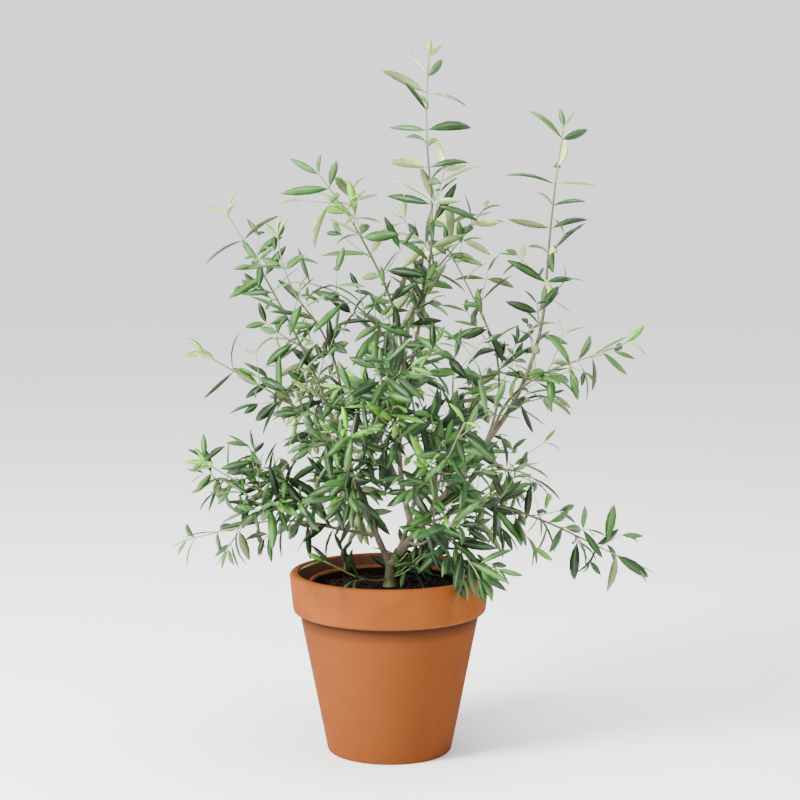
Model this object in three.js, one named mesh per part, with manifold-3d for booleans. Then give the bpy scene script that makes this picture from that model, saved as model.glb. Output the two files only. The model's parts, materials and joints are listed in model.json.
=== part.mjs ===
// A young olive tree with several stems, growing in a plastic nursery pot that stands inside a
// terracotta pot. Millimetres, +Z up. The origin is the centre of the terracotta pot's underside.
//
// The tree is a short trunk, boughs that leave it or each other, and one mass of foliage at the
// end of every bough. A limb is one curve: its bough is the bare part, and the shoot that carries
// the mass is the rest of it. Twigs and leaves grow on each shoot by a seeded rule.
import * as THREE from "three";
import { mergeVertices } from "three/addons/utils/BufferGeometryUtils.js";
import Module from "manifold-3d";

const wasm = await Module();
wasm.setup();

const GAP = 0.3; // between pieces that touch

// --- terracotta pot ---
const POT_HEIGHT = 272;
const POT_LIP_RADIUS = 150; // the widest, just under the rounded lip
const POT_BASE_RADIUS = 94;
const POT_SHOULDER_RADIUS = 134; // body, right under the rim band
const POT_WALL = 11;
const POT_FLOOR = 14;
const RIM_HEIGHT = 60;
const RIM_TAPER = 5; // the band draws in this much from its lip to its lower edge
const LIP_ROUND = 6;
const BASE_BEVEL = 4;
const DRAIN_RADIUS = 8;
const DRAIN_COUNT = 3;
const DRAIN_CIRCLE = 48;

// --- nursery pot and compost ---
const NURSERY_RIM_RADIUS = 121;
const NURSERY_BASE_RADIUS = 79;
const NURSERY_TOP = 258;
const NURSERY_WALL = 2.2;
const NURSERY_BEAD = 3.4; // rolled edge
const SOIL_LEVEL = 245;
const SOIL_CROWN = 3; // the compost rises this much from the wall to the trunk

// --- trunk ---
const FORK_HEIGHT = 280;
const FLARE_RADIUS = 11;
const TRUNK_RADIUS = 7.3;
const TRUNK_LEAN = { x: 1.5, y: -1 }; // how far the fork stands off the foot

// --- limbs ---
const PATH_STEP = 5; // spacing of the points that a limb's curve is worked out at
const LIMB_TIP_RADIUS = 1;
const LIMB_TAPER = 1.3; // power of the taper, so limbs thin faster near the root
const BOUGH_SIDES = 6;
const BOUGH_RING = 40;
const SHOOT_SIDES = 4;
const SHOOT_RING = 45;

// --- twigs ---
const TWIG_SIDES = 3;
const TWIG_RING = 36;
const TWIG_STEP = 10;
const TWIG_FIRST = 14; // from where the shoot leaves its bough
const TWIG_GAP = 34;
const TWIG_SHORTEST = 25;
const TWIG_RADIUS = 1.5;
const TWIG_ROOT_SHARE = 0.62; // a twig's radius at its root, as a share of the shoot's
const TWIG_TIP_SHARE = 0.6;
const TWIG_OUT = { least: 36, spread: 26 }; // degrees off the shoot
const GOLDEN_ANGLE = 137.5;
const TWIG_MARGIN = 3.5;

// --- leaves, larger than life and fewer ---
const LEAF_LENGTH = 64;
const LEAF_WIDTH = 15;
const LEAF_THICKNESS = 1.5;
const LEAF_WIDEST = 0.42; // share of the length
const LEAF_GAP = 50;
const LEAF_STAGGER = 1.2; // the second leaf of a pair roots this much further on
const LEAF_FIRST = 16;
const LEAF_OUT = { least: 34, spread: 30 }; // degrees off the twig
const LEAF_TURN = 90; // opposite pairs, each a quarter turn on from the last
const LEAF_YOUNG = 0.52; // size of the leaves at a tip
const LEAF_GROWN = 95; // leaves have their full size this far from a tip, nearly
const LEAF_FACES_UP = 0.6;
const LEAF_ROLL = 110; // degrees, the range in which a blade turns about its own length
const LEAF_MARGIN = 1.6;
const LEAF_CURL = 0.09; // how far the tip bends back, as a share of the length

const rad = THREE.MathUtils.degToRad;
const UP = new THREE.Vector3(0, 0, 1);

// Each limb leaves `from` at the share `at` of that limb's bough. It sets off towards the compass
// `azimuth` (degrees from +X to +Y) and swings by `swing` on the way. `lean` is its angle off the
// vertical at its root, at each third and at its tip. Then come the lengths of its bough and of
// its shoot, the radius at its root, the longest twig, the share of the shoot that carries twigs,
// and how much the twigs turn up, or down where it is negative, in each step.
const LIMBS = [
  limb("left_high", "trunk", 1, 168, 0, [26, 19, 28, 33], 255, 325, 5, 84, 0.8, 0.04),
  limb("right_tall", "trunk", 1, 1, 24, [37, 39, 3, 10], 290, 435, 6.4, 76, 0.55, 0.04),
  limb("upper_left", "right_tall", 0.205, 196, 0, [20, -8, 24, 39], 340, 230, 4.8, 96, 0.8, 0.04),
  limb("leader", "upper_left", 0.543, 39, -15, [15, 13, -7, 6], 155, 375, 3.2, 90, 0.5, 0.04),
  limb("upper_right", "upper_left", 0.797, 73, -60, [18, 39, 47, 35], 75, 185, 2.6, 82, 0.85, 0.03),
  limb("left_long", "upper_left", 0.736, 231, -45, [36, 41, 58, 90], 70, 165, 2.4, 70, 0.85, 0.05),
  limb("left_second", "left_high", 0.673, 260, -60, [5, 20, 45, 2], 165, 210, 2.8, 70, 0.8, 0.03),
  limb("left_mid", "left_high", 0.539, 240, -60, [37, 46, 60, 59], 105, 220, 2.6, 80, 0.65, 0.02),
  limb("left_low_upper", "left_high", 0.289, 220, -40, [32, 92, 71, 53], 70, 215, 2.8, 96, 0.85, 0.09),
  limb("left_low", "left_high", 0.193, 165, 10, [84, 80, 105, 104], 55, 245, 2.8, 68, 0.7, -0.03),
  limb("right_level", "right_tall", 0.865, 330, 15, [13, 53, 72, 66], 120, 140, 2.6, 66, 0.6, 0.03),
  limb("mid_right", "right_tall", 0.517, 47, -60, [66, 15, -25, -29], 190, 220, 3, 92, 0.85, 0.03),
  limb("right_low", "right_tall", 0.44, 324, 45, [85, 102, 116, 116], 75, 240, 2.8, 76, 0.75, 0.03),
  limb("right_side", "right_tall", 0.537, 33, -5, [72, 83, 108, 147], 85, 100, 2.4, 84, 0.9, -0.02),
  limb("right_spill", "right_tall", 0.305, 277, 40, [78, 98, 118, 145], 85, 110, 2.4, 72, 0.8, -0.05),
  limb("centre_bright", "right_tall", 0.479, 275, 5, [57, 14, 0, 55], 110, 160, 2.6, 92, 0.9, 0.03),
  limb("centre_left", "upper_left", 0.209, 258, -40, [60, 41, 31, 34], 65, 110, 2.6, 84, 0.9, 0.02),
  limb("centre_right", "right_tall", 0.295, 293, -45, [51, 41, 32, 25], 100, 120, 2.8, 88, 0.9, 0.03),
  limb("back_high", "trunk", 0.86, 45, 101, [40, 33, 28, 25], 205, 220, 4.2, 96, 0.85, 0.04),
  limb("back_left", "left_high", 0.385, 112, 10, [63, 60, 48, 26], 140, 160, 2.8, 92, 0.9, 0.04),
  limb("back_right", "back_high", 0.524, 68, -10, [75, 60, 46, 43], 140, 170, 2.8, 92, 0.9, 0.04),
  limb("back_low_left", "left_high", 0.337, 92, 20, [92, 88, 82, 70], 115, 140, 2.6, 92, 0.9, 0.01),
  limb("back_low_right", "right_tall", 0.266, 68, -25, [94, 87, 77, 68], 120, 155, 2.6, 92, 0.9, 0.01),
  limb("front_left", "left_high", 0.366, 261, 5, [64, 60, 51, 37], 120, 125, 2.8, 96, 0.9, 0.03),
  limb("front_high", "upper_left", 0.29, 272, -25, [70, 55, 41, 37], 125, 160, 2.8, 110, 0.9, 0.03),
  limb("front_low", "right_tall", 0.15, 300, -50, [92, 60, 34, 46], 120, 135, 2.8, 84, 0.9, 0.02),
  limb("front_right", "right_tall", 0.382, 268, 22, [64, 60, 54, 48], 130, 155, 2.8, 104, 0.9, 0.03),
  limb("pot_left", "trunk", 0.375, 213, -20, [104, 74, 60, 63], 30, 85, 1.8, 40, 0.7, 0.05),
];

function limb(name, from, at, azimuth, swing, lean, bough, shoot, radius, reach, bushy, rise) {
  return { name, from, at, azimuth, swing, lean, bough, shoot, radius, reach, bushy, rise };
}

// ---------------------------------------------------------------- solids

function solidOf(geometry) {
  const bare = geometry.index ? geometry.toNonIndexed() : geometry.clone();
  bare.deleteAttribute("normal");
  bare.deleteAttribute("uv");
  const merged = mergeVertices(bare, 1e-4);
  return new wasm.Manifold(
    new wasm.Mesh({
      numProp: 3,
      vertProperties: merged.attributes.position.array,
      triVerts: new Uint32Array(merged.index.array),
    }),
  );
}

function geometryOf(solid) {
  const mesh = solid.getMesh();
  const geometry = new THREE.BufferGeometry();
  geometry.setAttribute("position", new THREE.BufferAttribute(mesh.vertProperties, 3));
  geometry.setIndex(new THREE.BufferAttribute(mesh.triVerts, 1));
  geometry.computeVertexNormals();
  return geometry;
}

function largestPiece(solid) {
  return solid.decompose().reduce((a, b) => (a.volume() > b.volume() ? a : b));
}

// A closed profile of [radius, height] pairs turned round +Z.
function turned(profile, segments) {
  const points = profile.map(([radius, height]) => new THREE.Vector2(radius, height));
  return new THREE.LatheGeometry([...points, points[0]], segments).rotateX(Math.PI / 2);
}

// A closed tube along a run of points, with the radius that `radiusAt` gives for each share. Its
// root is flat. Its tip is flat as well, or runs out to a point where `pointed` is set.
function bentTube(points, radiusAt, sides, ringSpacing, pointed) {
  const curve = new THREE.CatmullRomCurve3(points);
  const steps = Math.max(2, Math.round(curve.getLength() / ringSpacing));
  const frames = curve.computeFrenetFrames(steps);
  const lastRing = pointed ? steps - 1 : steps;
  const corners = [];
  const faces = [];
  for (let ring = 0; ring <= lastRing; ring++) {
    const share = ring / steps;
    for (let side = 0; side < sides; side++) {
      const angle = (2 * Math.PI * side) / sides;
      const corner = curve.getPointAt(share);
      corner.addScaledVector(frames.normals[ring], radiusAt(share) * Math.cos(angle));
      corner.addScaledVector(frames.binormals[ring], radiusAt(share) * Math.sin(angle));
      corners.push(corner);
      const here = ring * sides + side;
      const next = ring * sides + ((side + 1) % sides);
      if (ring < lastRing) faces.push(here, next, next + sides, here, next + sides, here + sides);
      else if (pointed) faces.push(here, next, sides * (lastRing + 1));
    }
  }
  if (pointed) corners.push(curve.getPointAt(1));
  for (let side = 2; side < sides; side++) {
    faces.push(0, side, side - 1);
    const end = lastRing * sides;
    if (!pointed) faces.push(end, end + side - 1, end + side);
  }
  return new THREE.BufferGeometry().setFromPoints(corners).setIndex(faces);
}

// ---------------------------------------------------------------- pot and compost

function roundedCorner(centreRadius, centreHeight, size, fromDegrees, toDegrees, steps) {
  return Array.from({ length: steps + 1 }, (_, i) => {
    const angle = rad(fromDegrees + ((toDegrees - fromDegrees) * i) / steps);
    return [centreRadius + size * Math.cos(angle), centreHeight + size * Math.sin(angle)];
  });
}

function potGeometry() {
  const rimFoot = POT_HEIGHT - RIM_HEIGHT;
  const lipHeight = POT_HEIGHT - LIP_ROUND;
  const innerLip = POT_LIP_RADIUS - POT_WALL - 3;
  const profile = [
    [0, 0],
    [POT_BASE_RADIUS - BASE_BEVEL, 0],
    [POT_BASE_RADIUS, BASE_BEVEL],
    [POT_SHOULDER_RADIUS, rimFoot - 4],
    [POT_SHOULDER_RADIUS + 2, rimFoot],
    ...roundedCorner(POT_LIP_RADIUS - RIM_TAPER - LIP_ROUND, rimFoot + LIP_ROUND, LIP_ROUND, -70, 0, 2),
    ...roundedCorner(POT_LIP_RADIUS - LIP_ROUND, lipHeight, LIP_ROUND, 0, 90, 3),
    ...roundedCorner(innerLip + 4, POT_HEIGHT - 4, 4, 90, 180, 1),
    [POT_SHOULDER_RADIUS - POT_WALL + 1, rimFoot - 14],
    [POT_BASE_RADIUS - POT_WALL, POT_FLOOR],
    [0, POT_FLOOR],
  ];
  const holes = Array.from({ length: DRAIN_COUNT }, (_, i) => {
    const angle = rad((360 * i) / DRAIN_COUNT + 30);
    const hole = new THREE.CylinderGeometry(DRAIN_RADIUS, DRAIN_RADIUS, 3 * POT_FLOOR, 10);
    hole.rotateX(Math.PI / 2);
    hole.translate(DRAIN_CIRCLE * Math.cos(angle), DRAIN_CIRCLE * Math.sin(angle), 0);
    return solidOf(hole);
  });
  return geometryOf(solidOf(turned(profile, 48)).subtract(wasm.Manifold.union(holes)));
}

function nurseryRadiusAt(height) {
  const foot = POT_FLOOR + GAP;
  const share = (height - foot) / (NURSERY_TOP - foot);
  return NURSERY_BASE_RADIUS + (NURSERY_RIM_RADIUS - NURSERY_BEAD - NURSERY_BASE_RADIUS) * share;
}

function nurseryPotGeometry() {
  const foot = POT_FLOOR + GAP;
  const beadHeight = NURSERY_TOP - NURSERY_BEAD / 2;
  const neck = NURSERY_TOP - 2 * NURSERY_BEAD;
  return turned(
    [
      [0, foot],
      [nurseryRadiusAt(foot), foot],
      [nurseryRadiusAt(neck), neck],
      ...roundedCorner(NURSERY_RIM_RADIUS - NURSERY_BEAD / 2, beadHeight, NURSERY_BEAD / 2, -60, 90, 2),
      [nurseryRadiusAt(NURSERY_TOP) - NURSERY_WALL, NURSERY_TOP],
      [nurseryRadiusAt(foot) - NURSERY_WALL, foot + NURSERY_WALL],
      [0, foot + NURSERY_WALL],
    ],
    36,
  );
}

function soilHeightAt(radius) {
  return SOIL_LEVEL + SOIL_CROWN * Math.max(0, 1 - radius / NURSERY_BASE_RADIUS);
}

function soilGeometry() {
  const foot = POT_FLOOR + 2 * GAP + NURSERY_WALL;
  const inside = (height) => nurseryRadiusAt(height) - NURSERY_WALL - GAP - 0.4;
  return turned(
    [
      [0, foot],
      [inside(foot), foot],
      [inside(SOIL_LEVEL), SOIL_LEVEL],
      [NURSERY_BASE_RADIUS, soilHeightAt(NURSERY_BASE_RADIUS)],
      [2 * FLARE_RADIUS, SOIL_LEVEL + SOIL_CROWN],
      [0, SOIL_LEVEL + SOIL_CROWN],
    ],
    36,
  );
}

// ---------------------------------------------------------------- trunk and limb curves

const TRUNK_FOOT = SOIL_LEVEL + SOIL_CROWN + GAP;

// The trunk leaves the compost upright and leans more as it rises, so that its foot is level.
function trunkCurve() {
  const count = Math.round((FORK_HEIGHT - TRUNK_FOOT) / PATH_STEP);
  return Array.from({ length: count + 1 }, (_, i) => {
    const share = i / count;
    const height = THREE.MathUtils.lerp(TRUNK_FOOT, FORK_HEIGHT, share);
    return new THREE.Vector3(TRUNK_LEAN.x * share ** 2, TRUNK_LEAN.y * share ** 2, height);
  });
}

function trunkRadiusAt(share) {
  return TRUNK_RADIUS + (FLARE_RADIUS - TRUNK_RADIUS) * (1 - Math.min(1, 2 * share)) ** 2;
}

function limbLength(limb) {
  return limb.bough + limb.shoot;
}

function limbRadiusAt(limb, along) {
  const left = 1 - along / limbLength(limb);
  return LIMB_TIP_RADIUS + (limb.radius - LIMB_TIP_RADIUS) * left ** LIMB_TAPER;
}

function pointAlong(points, along, spacing) {
  const place = Math.min(along / spacing, points.length - 1.001);
  const i = Math.floor(place);
  return points[i].clone().lerp(points[i + 1], place - i);
}

function directionAlong(points, along, spacing) {
  const i = Math.min(Math.floor(along / spacing), points.length - 2);
  return points[i + 1].clone().sub(points[i]).normalize();
}

// The limb's curve: its lean runs in three straight stretches, its azimuth in one.
function limbCurve(limb, start) {
  const count = Math.round(limbLength(limb) / PATH_STEP);
  const points = [start];
  for (let i = 0; i < count; i++) {
    const share = (i + 0.5) / count;
    const third = Math.min(2, Math.floor(3 * share));
    const lean = rad(THREE.MathUtils.lerp(limb.lean[third], limb.lean[third + 1], 3 * share - third));
    const azimuth = rad(limb.azimuth + limb.swing * share);
    const out = new THREE.Vector3(Math.cos(azimuth), Math.sin(azimuth), 0);
    const step = out.multiplyScalar(Math.sin(lean)).addScaledVector(UP, Math.cos(lean));
    points.push(points[i].clone().addScaledVector(step, PATH_STEP));
  }
  return points;
}

const curves = new Map([["trunk", trunkCurve()]]);
const boughLengths = new Map([["trunk", FORK_HEIGHT - TRUNK_FOOT]]);
for (const limb of LIMBS) {
  const start = pointAlong(curves.get(limb.from), limb.at * boughLengths.get(limb.from), PATH_STEP);
  curves.set(limb.name, limbCurve(limb, start));
  boughLengths.set(limb.name, limb.bough);
}

function partOfCurve(name, fromAlong, toAlong) {
  const points = curves.get(name);
  const inner = points.filter((_, i) => i * PATH_STEP > fromAlong + 1 && i * PATH_STEP < toAlong - 1);
  return [pointAlong(points, fromAlong, PATH_STEP), ...inner, pointAlong(points, toAlong, PATH_STEP)];
}

// ---------------------------------------------------------------- the space of each mass

const shootPoints = LIMBS.map((limb) => curves.get(limb.name).slice(limb.bough / PATH_STEP));
const woodPoints = LIMBS.flatMap((limb) =>
  curves
    .get(limb.name)
    .slice(0, limb.bough / PATH_STEP + 1)
    .map((point, i) => ({ point, radius: limbRadiusAt(limb, i * PATH_STEP) })),
);
for (const [i, point] of curves.get("trunk").entries())
  woodPoints.push({ point, radius: trunkRadiusAt(i / (curves.get("trunk").length - 1)) });

function distanceToShoot(point, index) {
  return Math.sqrt(
    shootPoints[index].reduce((least, q) => Math.min(least, point.distanceToSquared(q)), Infinity),
  );
}

function clearOfPot(point, margin) {
  const radius = Math.hypot(point.x, point.y);
  if (radius > POT_LIP_RADIUS + margin) return true;
  if (point.z > POT_HEIGHT + margin) return true;
  const insideNursery = radius < NURSERY_RIM_RADIUS - 2 * NURSERY_BEAD - margin;
  const insidePot = radius < POT_LIP_RADIUS - POT_WALL - 6 - margin;
  if (insideNursery) return point.z > soilHeightAt(radius) + margin;
  return insidePot && point.z > NURSERY_TOP + margin;
}

// A point is in a mass's space where that mass's shoot is the nearest one, by twice the margin,
// and no wood or pot is within the margin.
function inSpace(point, index, margin) {
  const own = distanceToShoot(point, index);
  return (
    clearOfPot(point, margin) &&
    LIMBS.every((_, other) => other === index || distanceToShoot(point, other) > own + 2 * margin) &&
    woodPoints.every((wood) => wood.point.distanceTo(point) > wood.radius + margin)
  );
}

// ---------------------------------------------------------------- the seeded rule of growth

function seededRandom(seed) {
  let state = Math.imul(seed, 2654435761) >>> 0;
  return () => {
    state = (Math.imul(state, 1664525) + 1013904223) >>> 0;
    return state / 2 ** 32;
  };
}

// A unit vector square to `direction`, turned round it by `degrees`.
function sideways(direction, degrees) {
  const away = Math.abs(direction.z) < 0.9 ? UP : new THREE.Vector3(1, 0, 0);
  const side = new THREE.Vector3().crossVectors(direction, away).normalize();
  return side.applyAxisAngle(direction, rad(degrees));
}

function leaning(direction, side, degrees) {
  const out = direction.clone().multiplyScalar(Math.cos(rad(degrees)));
  return out.addScaledVector(side, Math.sin(rad(degrees)));
}

// Twigs leave the shoot a golden angle apart, shorter towards its tip. A twig ends where it would
// leave its space, and one that is left too short is skipped.
function growTwigs(limb, index) {
  const random = seededRandom(2 * index + 1);
  const curve = curves.get(limb.name);
  const twigs = [];
  let turn = 360 * random();
  let along = TWIG_FIRST;
  while (along < limb.shoot * limb.bushy) {
    const direction = directionAlong(curve, limb.bough + along, PATH_STEP);
    const side = sideways(direction, turn);
    const out = leaning(direction, side, TWIG_OUT.least + TWIG_OUT.spread * random());
    const length = limb.reach * (1 - (0.5 * along) / limb.shoot) * (0.7 + 0.3 * random());
    const points = [pointAlong(curve, limb.bough + along, PATH_STEP)];
    while ((points.length - 1) * TWIG_STEP < length) {
      out.addScaledVector(UP, limb.rise).normalize();
      const next = points.at(-1).clone().addScaledVector(out, TWIG_STEP);
      if (!inSpace(next, index, TWIG_MARGIN)) break;
      points.push(next);
    }
    const root = Math.min(TWIG_RADIUS, TWIG_ROOT_SHARE * limbRadiusAt(limb, limb.bough + along));
    if ((points.length - 1) * TWIG_STEP >= TWIG_SHORTEST) twigs.push({ points, root });
    turn += GOLDEN_ANGLE;
    along += TWIG_GAP * (0.75 + 0.5 * random());
  }
  return twigs;
}

// A leaf is a blade with a ridge: pointed at both ends, widest before its middle, flat below,
// with its two ends bent back from the widest place.
function leafGeometry(leaf) {
  const corner = (share, sideways, raised) =>
    leaf.root
      .clone()
      .addScaledVector(leaf.axis, share * leaf.length)
      .addScaledVector(leaf.across, sideways)
      .addScaledVector(leaf.normal, raised - LEAF_CURL * leaf.length * share ** 2);
  const corners = [
    corner(0, 0, 0),
    corner(1, 0, 0),
    corner(LEAF_WIDEST, leaf.width / 2, 0),
    corner(LEAF_WIDEST, -leaf.width / 2, 0),
    corner(LEAF_WIDEST, 0, LEAF_THICKNESS),
  ];
  const faces = [0, 4, 2, 0, 3, 4, 1, 2, 4, 1, 4, 3, 0, 2, 3, 1, 3, 2];
  return new THREE.BufferGeometry().setFromPoints(corners).setIndex(faces);
}

function leafFits(leaf, index) {
  const shares = [0.3, LEAF_WIDEST, 0.6, 0.8, 1];
  return shares.every((share) =>
    [-1, 1].every((edge) => {
      const width = leaf.width * Math.min(1, (1 - share) / (1 - LEAF_WIDEST));
      const sample = leaf.root.clone().addScaledVector(leaf.axis, share * leaf.length);
      sample.addScaledVector(leaf.across, (edge * width) / 2);
      sample.addScaledVector(leaf.normal, -LEAF_CURL * leaf.length * share ** 2);
      return inSpace(sample, index, LEAF_MARGIN);
    }),
  );
}

// A leaf of `size` (1 for a full one), out to one side of its twig or shoot and rolled by `roll`.
function leafAt(points, spacing, along, side, out, size, roll) {
  const direction = directionAlong(points, along, spacing);
  const axis = leaning(direction, side, out);
  const facing = direction.addScaledVector(UP, LEAF_FACES_UP);
  const normal = facing.addScaledVector(axis, -facing.dot(axis)).normalize();
  normal.applyAxisAngle(axis, rad(roll));
  const across = new THREE.Vector3().crossVectors(normal, axis);
  const root = pointAlong(points, along, spacing);
  const width = LEAF_WIDTH * (0.4 + 0.6 * size);
  return { root, axis, normal, across, length: LEAF_LENGTH * size, width };
}

// Opposite pairs of leaves along a twig or shoot, and one leaf at its end.
function growLeaves(points, spacing, random) {
  const length = (points.length - 1) * spacing;
  const leaves = [];
  let turn = 360 * random();
  for (let along = LEAF_FIRST; along < length - 6; along += LEAF_GAP * (0.8 + 0.4 * random())) {
    const young = Math.min(1, LEAF_YOUNG + (length - along) / LEAF_GROWN);
    const direction = directionAlong(points, along, spacing);
    for (const flip of [0, 180]) {
      const side = sideways(direction, turn + flip + 24 * (random() - 0.5));
      const out = LEAF_OUT.least + LEAF_OUT.spread * random();
      const place = along + (flip ? LEAF_STAGGER : 0);
      const size = young * (0.8 + 0.35 * random());
      const roll = LEAF_ROLL * (random() - 0.5);
      leaves.push(leafAt(points, spacing, place, side, out, size, roll));
    }
    turn += LEAF_TURN + 20 * (random() - 0.5);
  }
  const side = sideways(directionAlong(points, length, spacing), turn);
  const size = LEAF_YOUNG * (0.9 + 0.3 * random());
  leaves.push(leafAt(points, spacing, length - 4, side, 14, size, LEAF_ROLL * (random() - 0.5)));
  return leaves;
}

// ---------------------------------------------------------------- nodes

const MATERIALS = {
  terracotta: { color: "#b9683c", roughness: 0.85, metalness: 0 },
  nurseryPlastic: { color: "#8a4a30", roughness: 0.55, metalness: 0 },
  compost: { color: "#2c211b", roughness: 1, metalness: 0 },
  bark: { color: "#8b7d6b", roughness: 0.9, metalness: 0 },
  foliage: { color: "#3f6b3f", roughness: 0.5, metalness: 0 },
};

const tree = new THREE.Group();

function addNode(name, geometry, material) {
  const mesh = new THREE.Mesh(geometry, new THREE.MeshStandardMaterial(MATERIALS[material]));
  mesh.name = name;
  tree.add(mesh);
}

addNode("terracotta_pot", potGeometry(), "terracotta");
addNode("nursery_pot", nurseryPotGeometry(), "nurseryPlastic");
addNode("compost", soilGeometry(), "compost");

// The trunk or a bough as a solid, `extra` larger all round where its neighbours are cut clear.
function trunkSolid(extra) {
  const points = trunkCurve();
  points.at(-1).addScaledVector(UP, extra);
  return solidOf(bentTube(points, (share) => trunkRadiusAt(share) + extra, 12, 6, false));
}

function boughSolid(limb, extra) {
  const points = partOfCurve(limb.name, 0, limb.bough + extra);
  const radiusAt = (share) => limbRadiusAt(limb, share * limb.bough) + extra;
  return solidOf(bentTube(points, radiusAt, BOUGH_SIDES, BOUGH_RING, false));
}

function foliageSolid(limb, index) {
  const shoot = partOfCurve(limb.name, limb.bough + GAP, limbLength(limb));
  const shootRadius = (share) => limbRadiusAt(limb, limb.bough + share * limb.shoot);
  const twigs = growTwigs(limb, index);
  const random = seededRandom(2 * index + 2);
  const leaves = growLeaves(shootPoints[index], PATH_STEP, random);
  for (const twig of twigs) leaves.push(...growLeaves(twig.points, TWIG_STEP, random));
  const twigTube = ({ points, root }) => {
    const radiusAt = (share) => root * (1 - (1 - TWIG_TIP_SHARE) * share);
    return bentTube(points, radiusAt, TWIG_SIDES, TWIG_RING, true);
  };
  const pieces = [
    bentTube(shoot, shootRadius, SHOOT_SIDES, SHOOT_RING, true),
    ...twigs.map(twigTube),
    ...leaves.filter((leaf) => leafFits(leaf, index)).map(leafGeometry),
  ];
  return largestPiece(wasm.Manifold.union(pieces.map(solidOf)));
}

addNode("trunk", geometryOf(trunkSolid(0)), "bark");
const wood = [trunkSolid(GAP)];
for (const limb of LIMBS) {
  const bough = largestPiece(boughSolid(limb, 0).subtract(wasm.Manifold.union(wood)));
  wood.push(boughSolid(limb, GAP));
  addNode("bough_" + limb.name, geometryOf(bough), "bark");
}
LIMBS.forEach((limb, index) => {
  addNode("foliage_" + limb.name, geometryOf(foliageSolid(limb, index)), "foliage");
});

export default tree;
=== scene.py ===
"""A young olive tree in a terracotta pot.

The frame gives the pot, the nursery pot, the compost, the trunk and boughs, and one solid mass of
foliage on every bough. This script dresses them: a turned and fired pot, damp compost, bark with
relief, and twigs and leaves that grow on the same shoots by the same seeded rule, carried on to
finer twigs in much the same space. The rule works in millimetres, and meshes are in metres.
"""

import json
import math
from collections import namedtuple
from functools import partial

import bmesh
import bpy
import numpy as np
from bpy.props import FloatProperty, FloatVectorProperty, IntProperty, PointerProperty
from mathutils import Matrix, Vector, noise

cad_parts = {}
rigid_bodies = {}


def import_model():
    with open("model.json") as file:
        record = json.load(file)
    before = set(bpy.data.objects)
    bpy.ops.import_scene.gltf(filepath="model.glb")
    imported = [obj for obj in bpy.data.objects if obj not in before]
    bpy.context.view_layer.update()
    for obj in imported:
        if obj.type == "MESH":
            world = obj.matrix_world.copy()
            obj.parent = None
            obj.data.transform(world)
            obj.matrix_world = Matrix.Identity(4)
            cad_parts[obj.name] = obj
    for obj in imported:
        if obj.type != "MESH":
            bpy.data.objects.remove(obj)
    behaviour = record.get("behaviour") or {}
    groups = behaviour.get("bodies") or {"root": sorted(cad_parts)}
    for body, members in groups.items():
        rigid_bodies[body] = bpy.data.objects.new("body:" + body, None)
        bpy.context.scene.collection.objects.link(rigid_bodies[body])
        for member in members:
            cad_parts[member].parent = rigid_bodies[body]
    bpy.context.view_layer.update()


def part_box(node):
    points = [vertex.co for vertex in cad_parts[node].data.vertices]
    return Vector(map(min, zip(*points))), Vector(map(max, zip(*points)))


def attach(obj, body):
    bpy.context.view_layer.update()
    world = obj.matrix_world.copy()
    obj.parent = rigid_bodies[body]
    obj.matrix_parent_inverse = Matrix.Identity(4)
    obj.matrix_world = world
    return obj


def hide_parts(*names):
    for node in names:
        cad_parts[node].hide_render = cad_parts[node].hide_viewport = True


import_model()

bl_info = {
    "name": "Potted Olive Tree",
    "version": (1, 0, 0),
    "blender": (4, 5, 0),
    "location": "View3D > Sidebar > Olive Tree",
    "description": "Dresses a young olive tree in a terracotta pot",
    "category": "Add Mesh",
}

MM = 0.001


# ---------------------------------------------------------------- settings

POT_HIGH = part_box("terracotta_pot")[1]
NURSERY_LOW, NURSERY_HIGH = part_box("nursery_pot")
COMPOST_LOW, COMPOST_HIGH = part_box("compost")


def length(name, description, default):
    return FloatProperty(
        name=name, description=description, default=default, min=0.0, unit="LENGTH", precision=4
    )


def colour(name, description, default):
    return FloatVectorProperty(
        name=name, description=description, default=default, size=3, min=0.0, max=1.0, subtype="COLOR"
    )


class OlivePotSettings(bpy.types.PropertyGroup):
    lip_radius: length("Lip radius", "Widest radius of the pot", POT_HIGH.x)
    height: length("Height", "Height of the pot", POT_HIGH.z)
    base_radius: length("Base radius", "Radius of the foot", 0.094)
    wall: length("Wall", "Thickness of the fired wall", 0.011)
    rim_height: length("Rim height", "Height of the band round the rim", 0.060)
    clay: colour("Clay", "Main colour of the fired clay", (0.196, 0.0550, 0.0115))
    # Dark clay is also the painted shade of the body below the rim band.
    clay_dark: colour("Dark clay", "Damp and deeply fired patches", (0.134, 0.0385, 0.0100))
    # Damp clay is partly painted shade: on the inner face of the rim, and, darker, as the shadow right
    # under the rim band.
    clay_damp_and_shade: colour("Damp clay", "Damp inner face of the rim", (0.110, 0.048, 0.028))
    clay_bloom: colour("Bloom", "Chalky bloom on dry clay", (0.246, 0.0755, 0.0190))
    plastic: colour("Nursery pot", "Plastic of the inner pot", (0.150, 0.046, 0.018))
    compost: colour("Compost", "Damp compost", (0.012, 0.007, 0.005))


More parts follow.
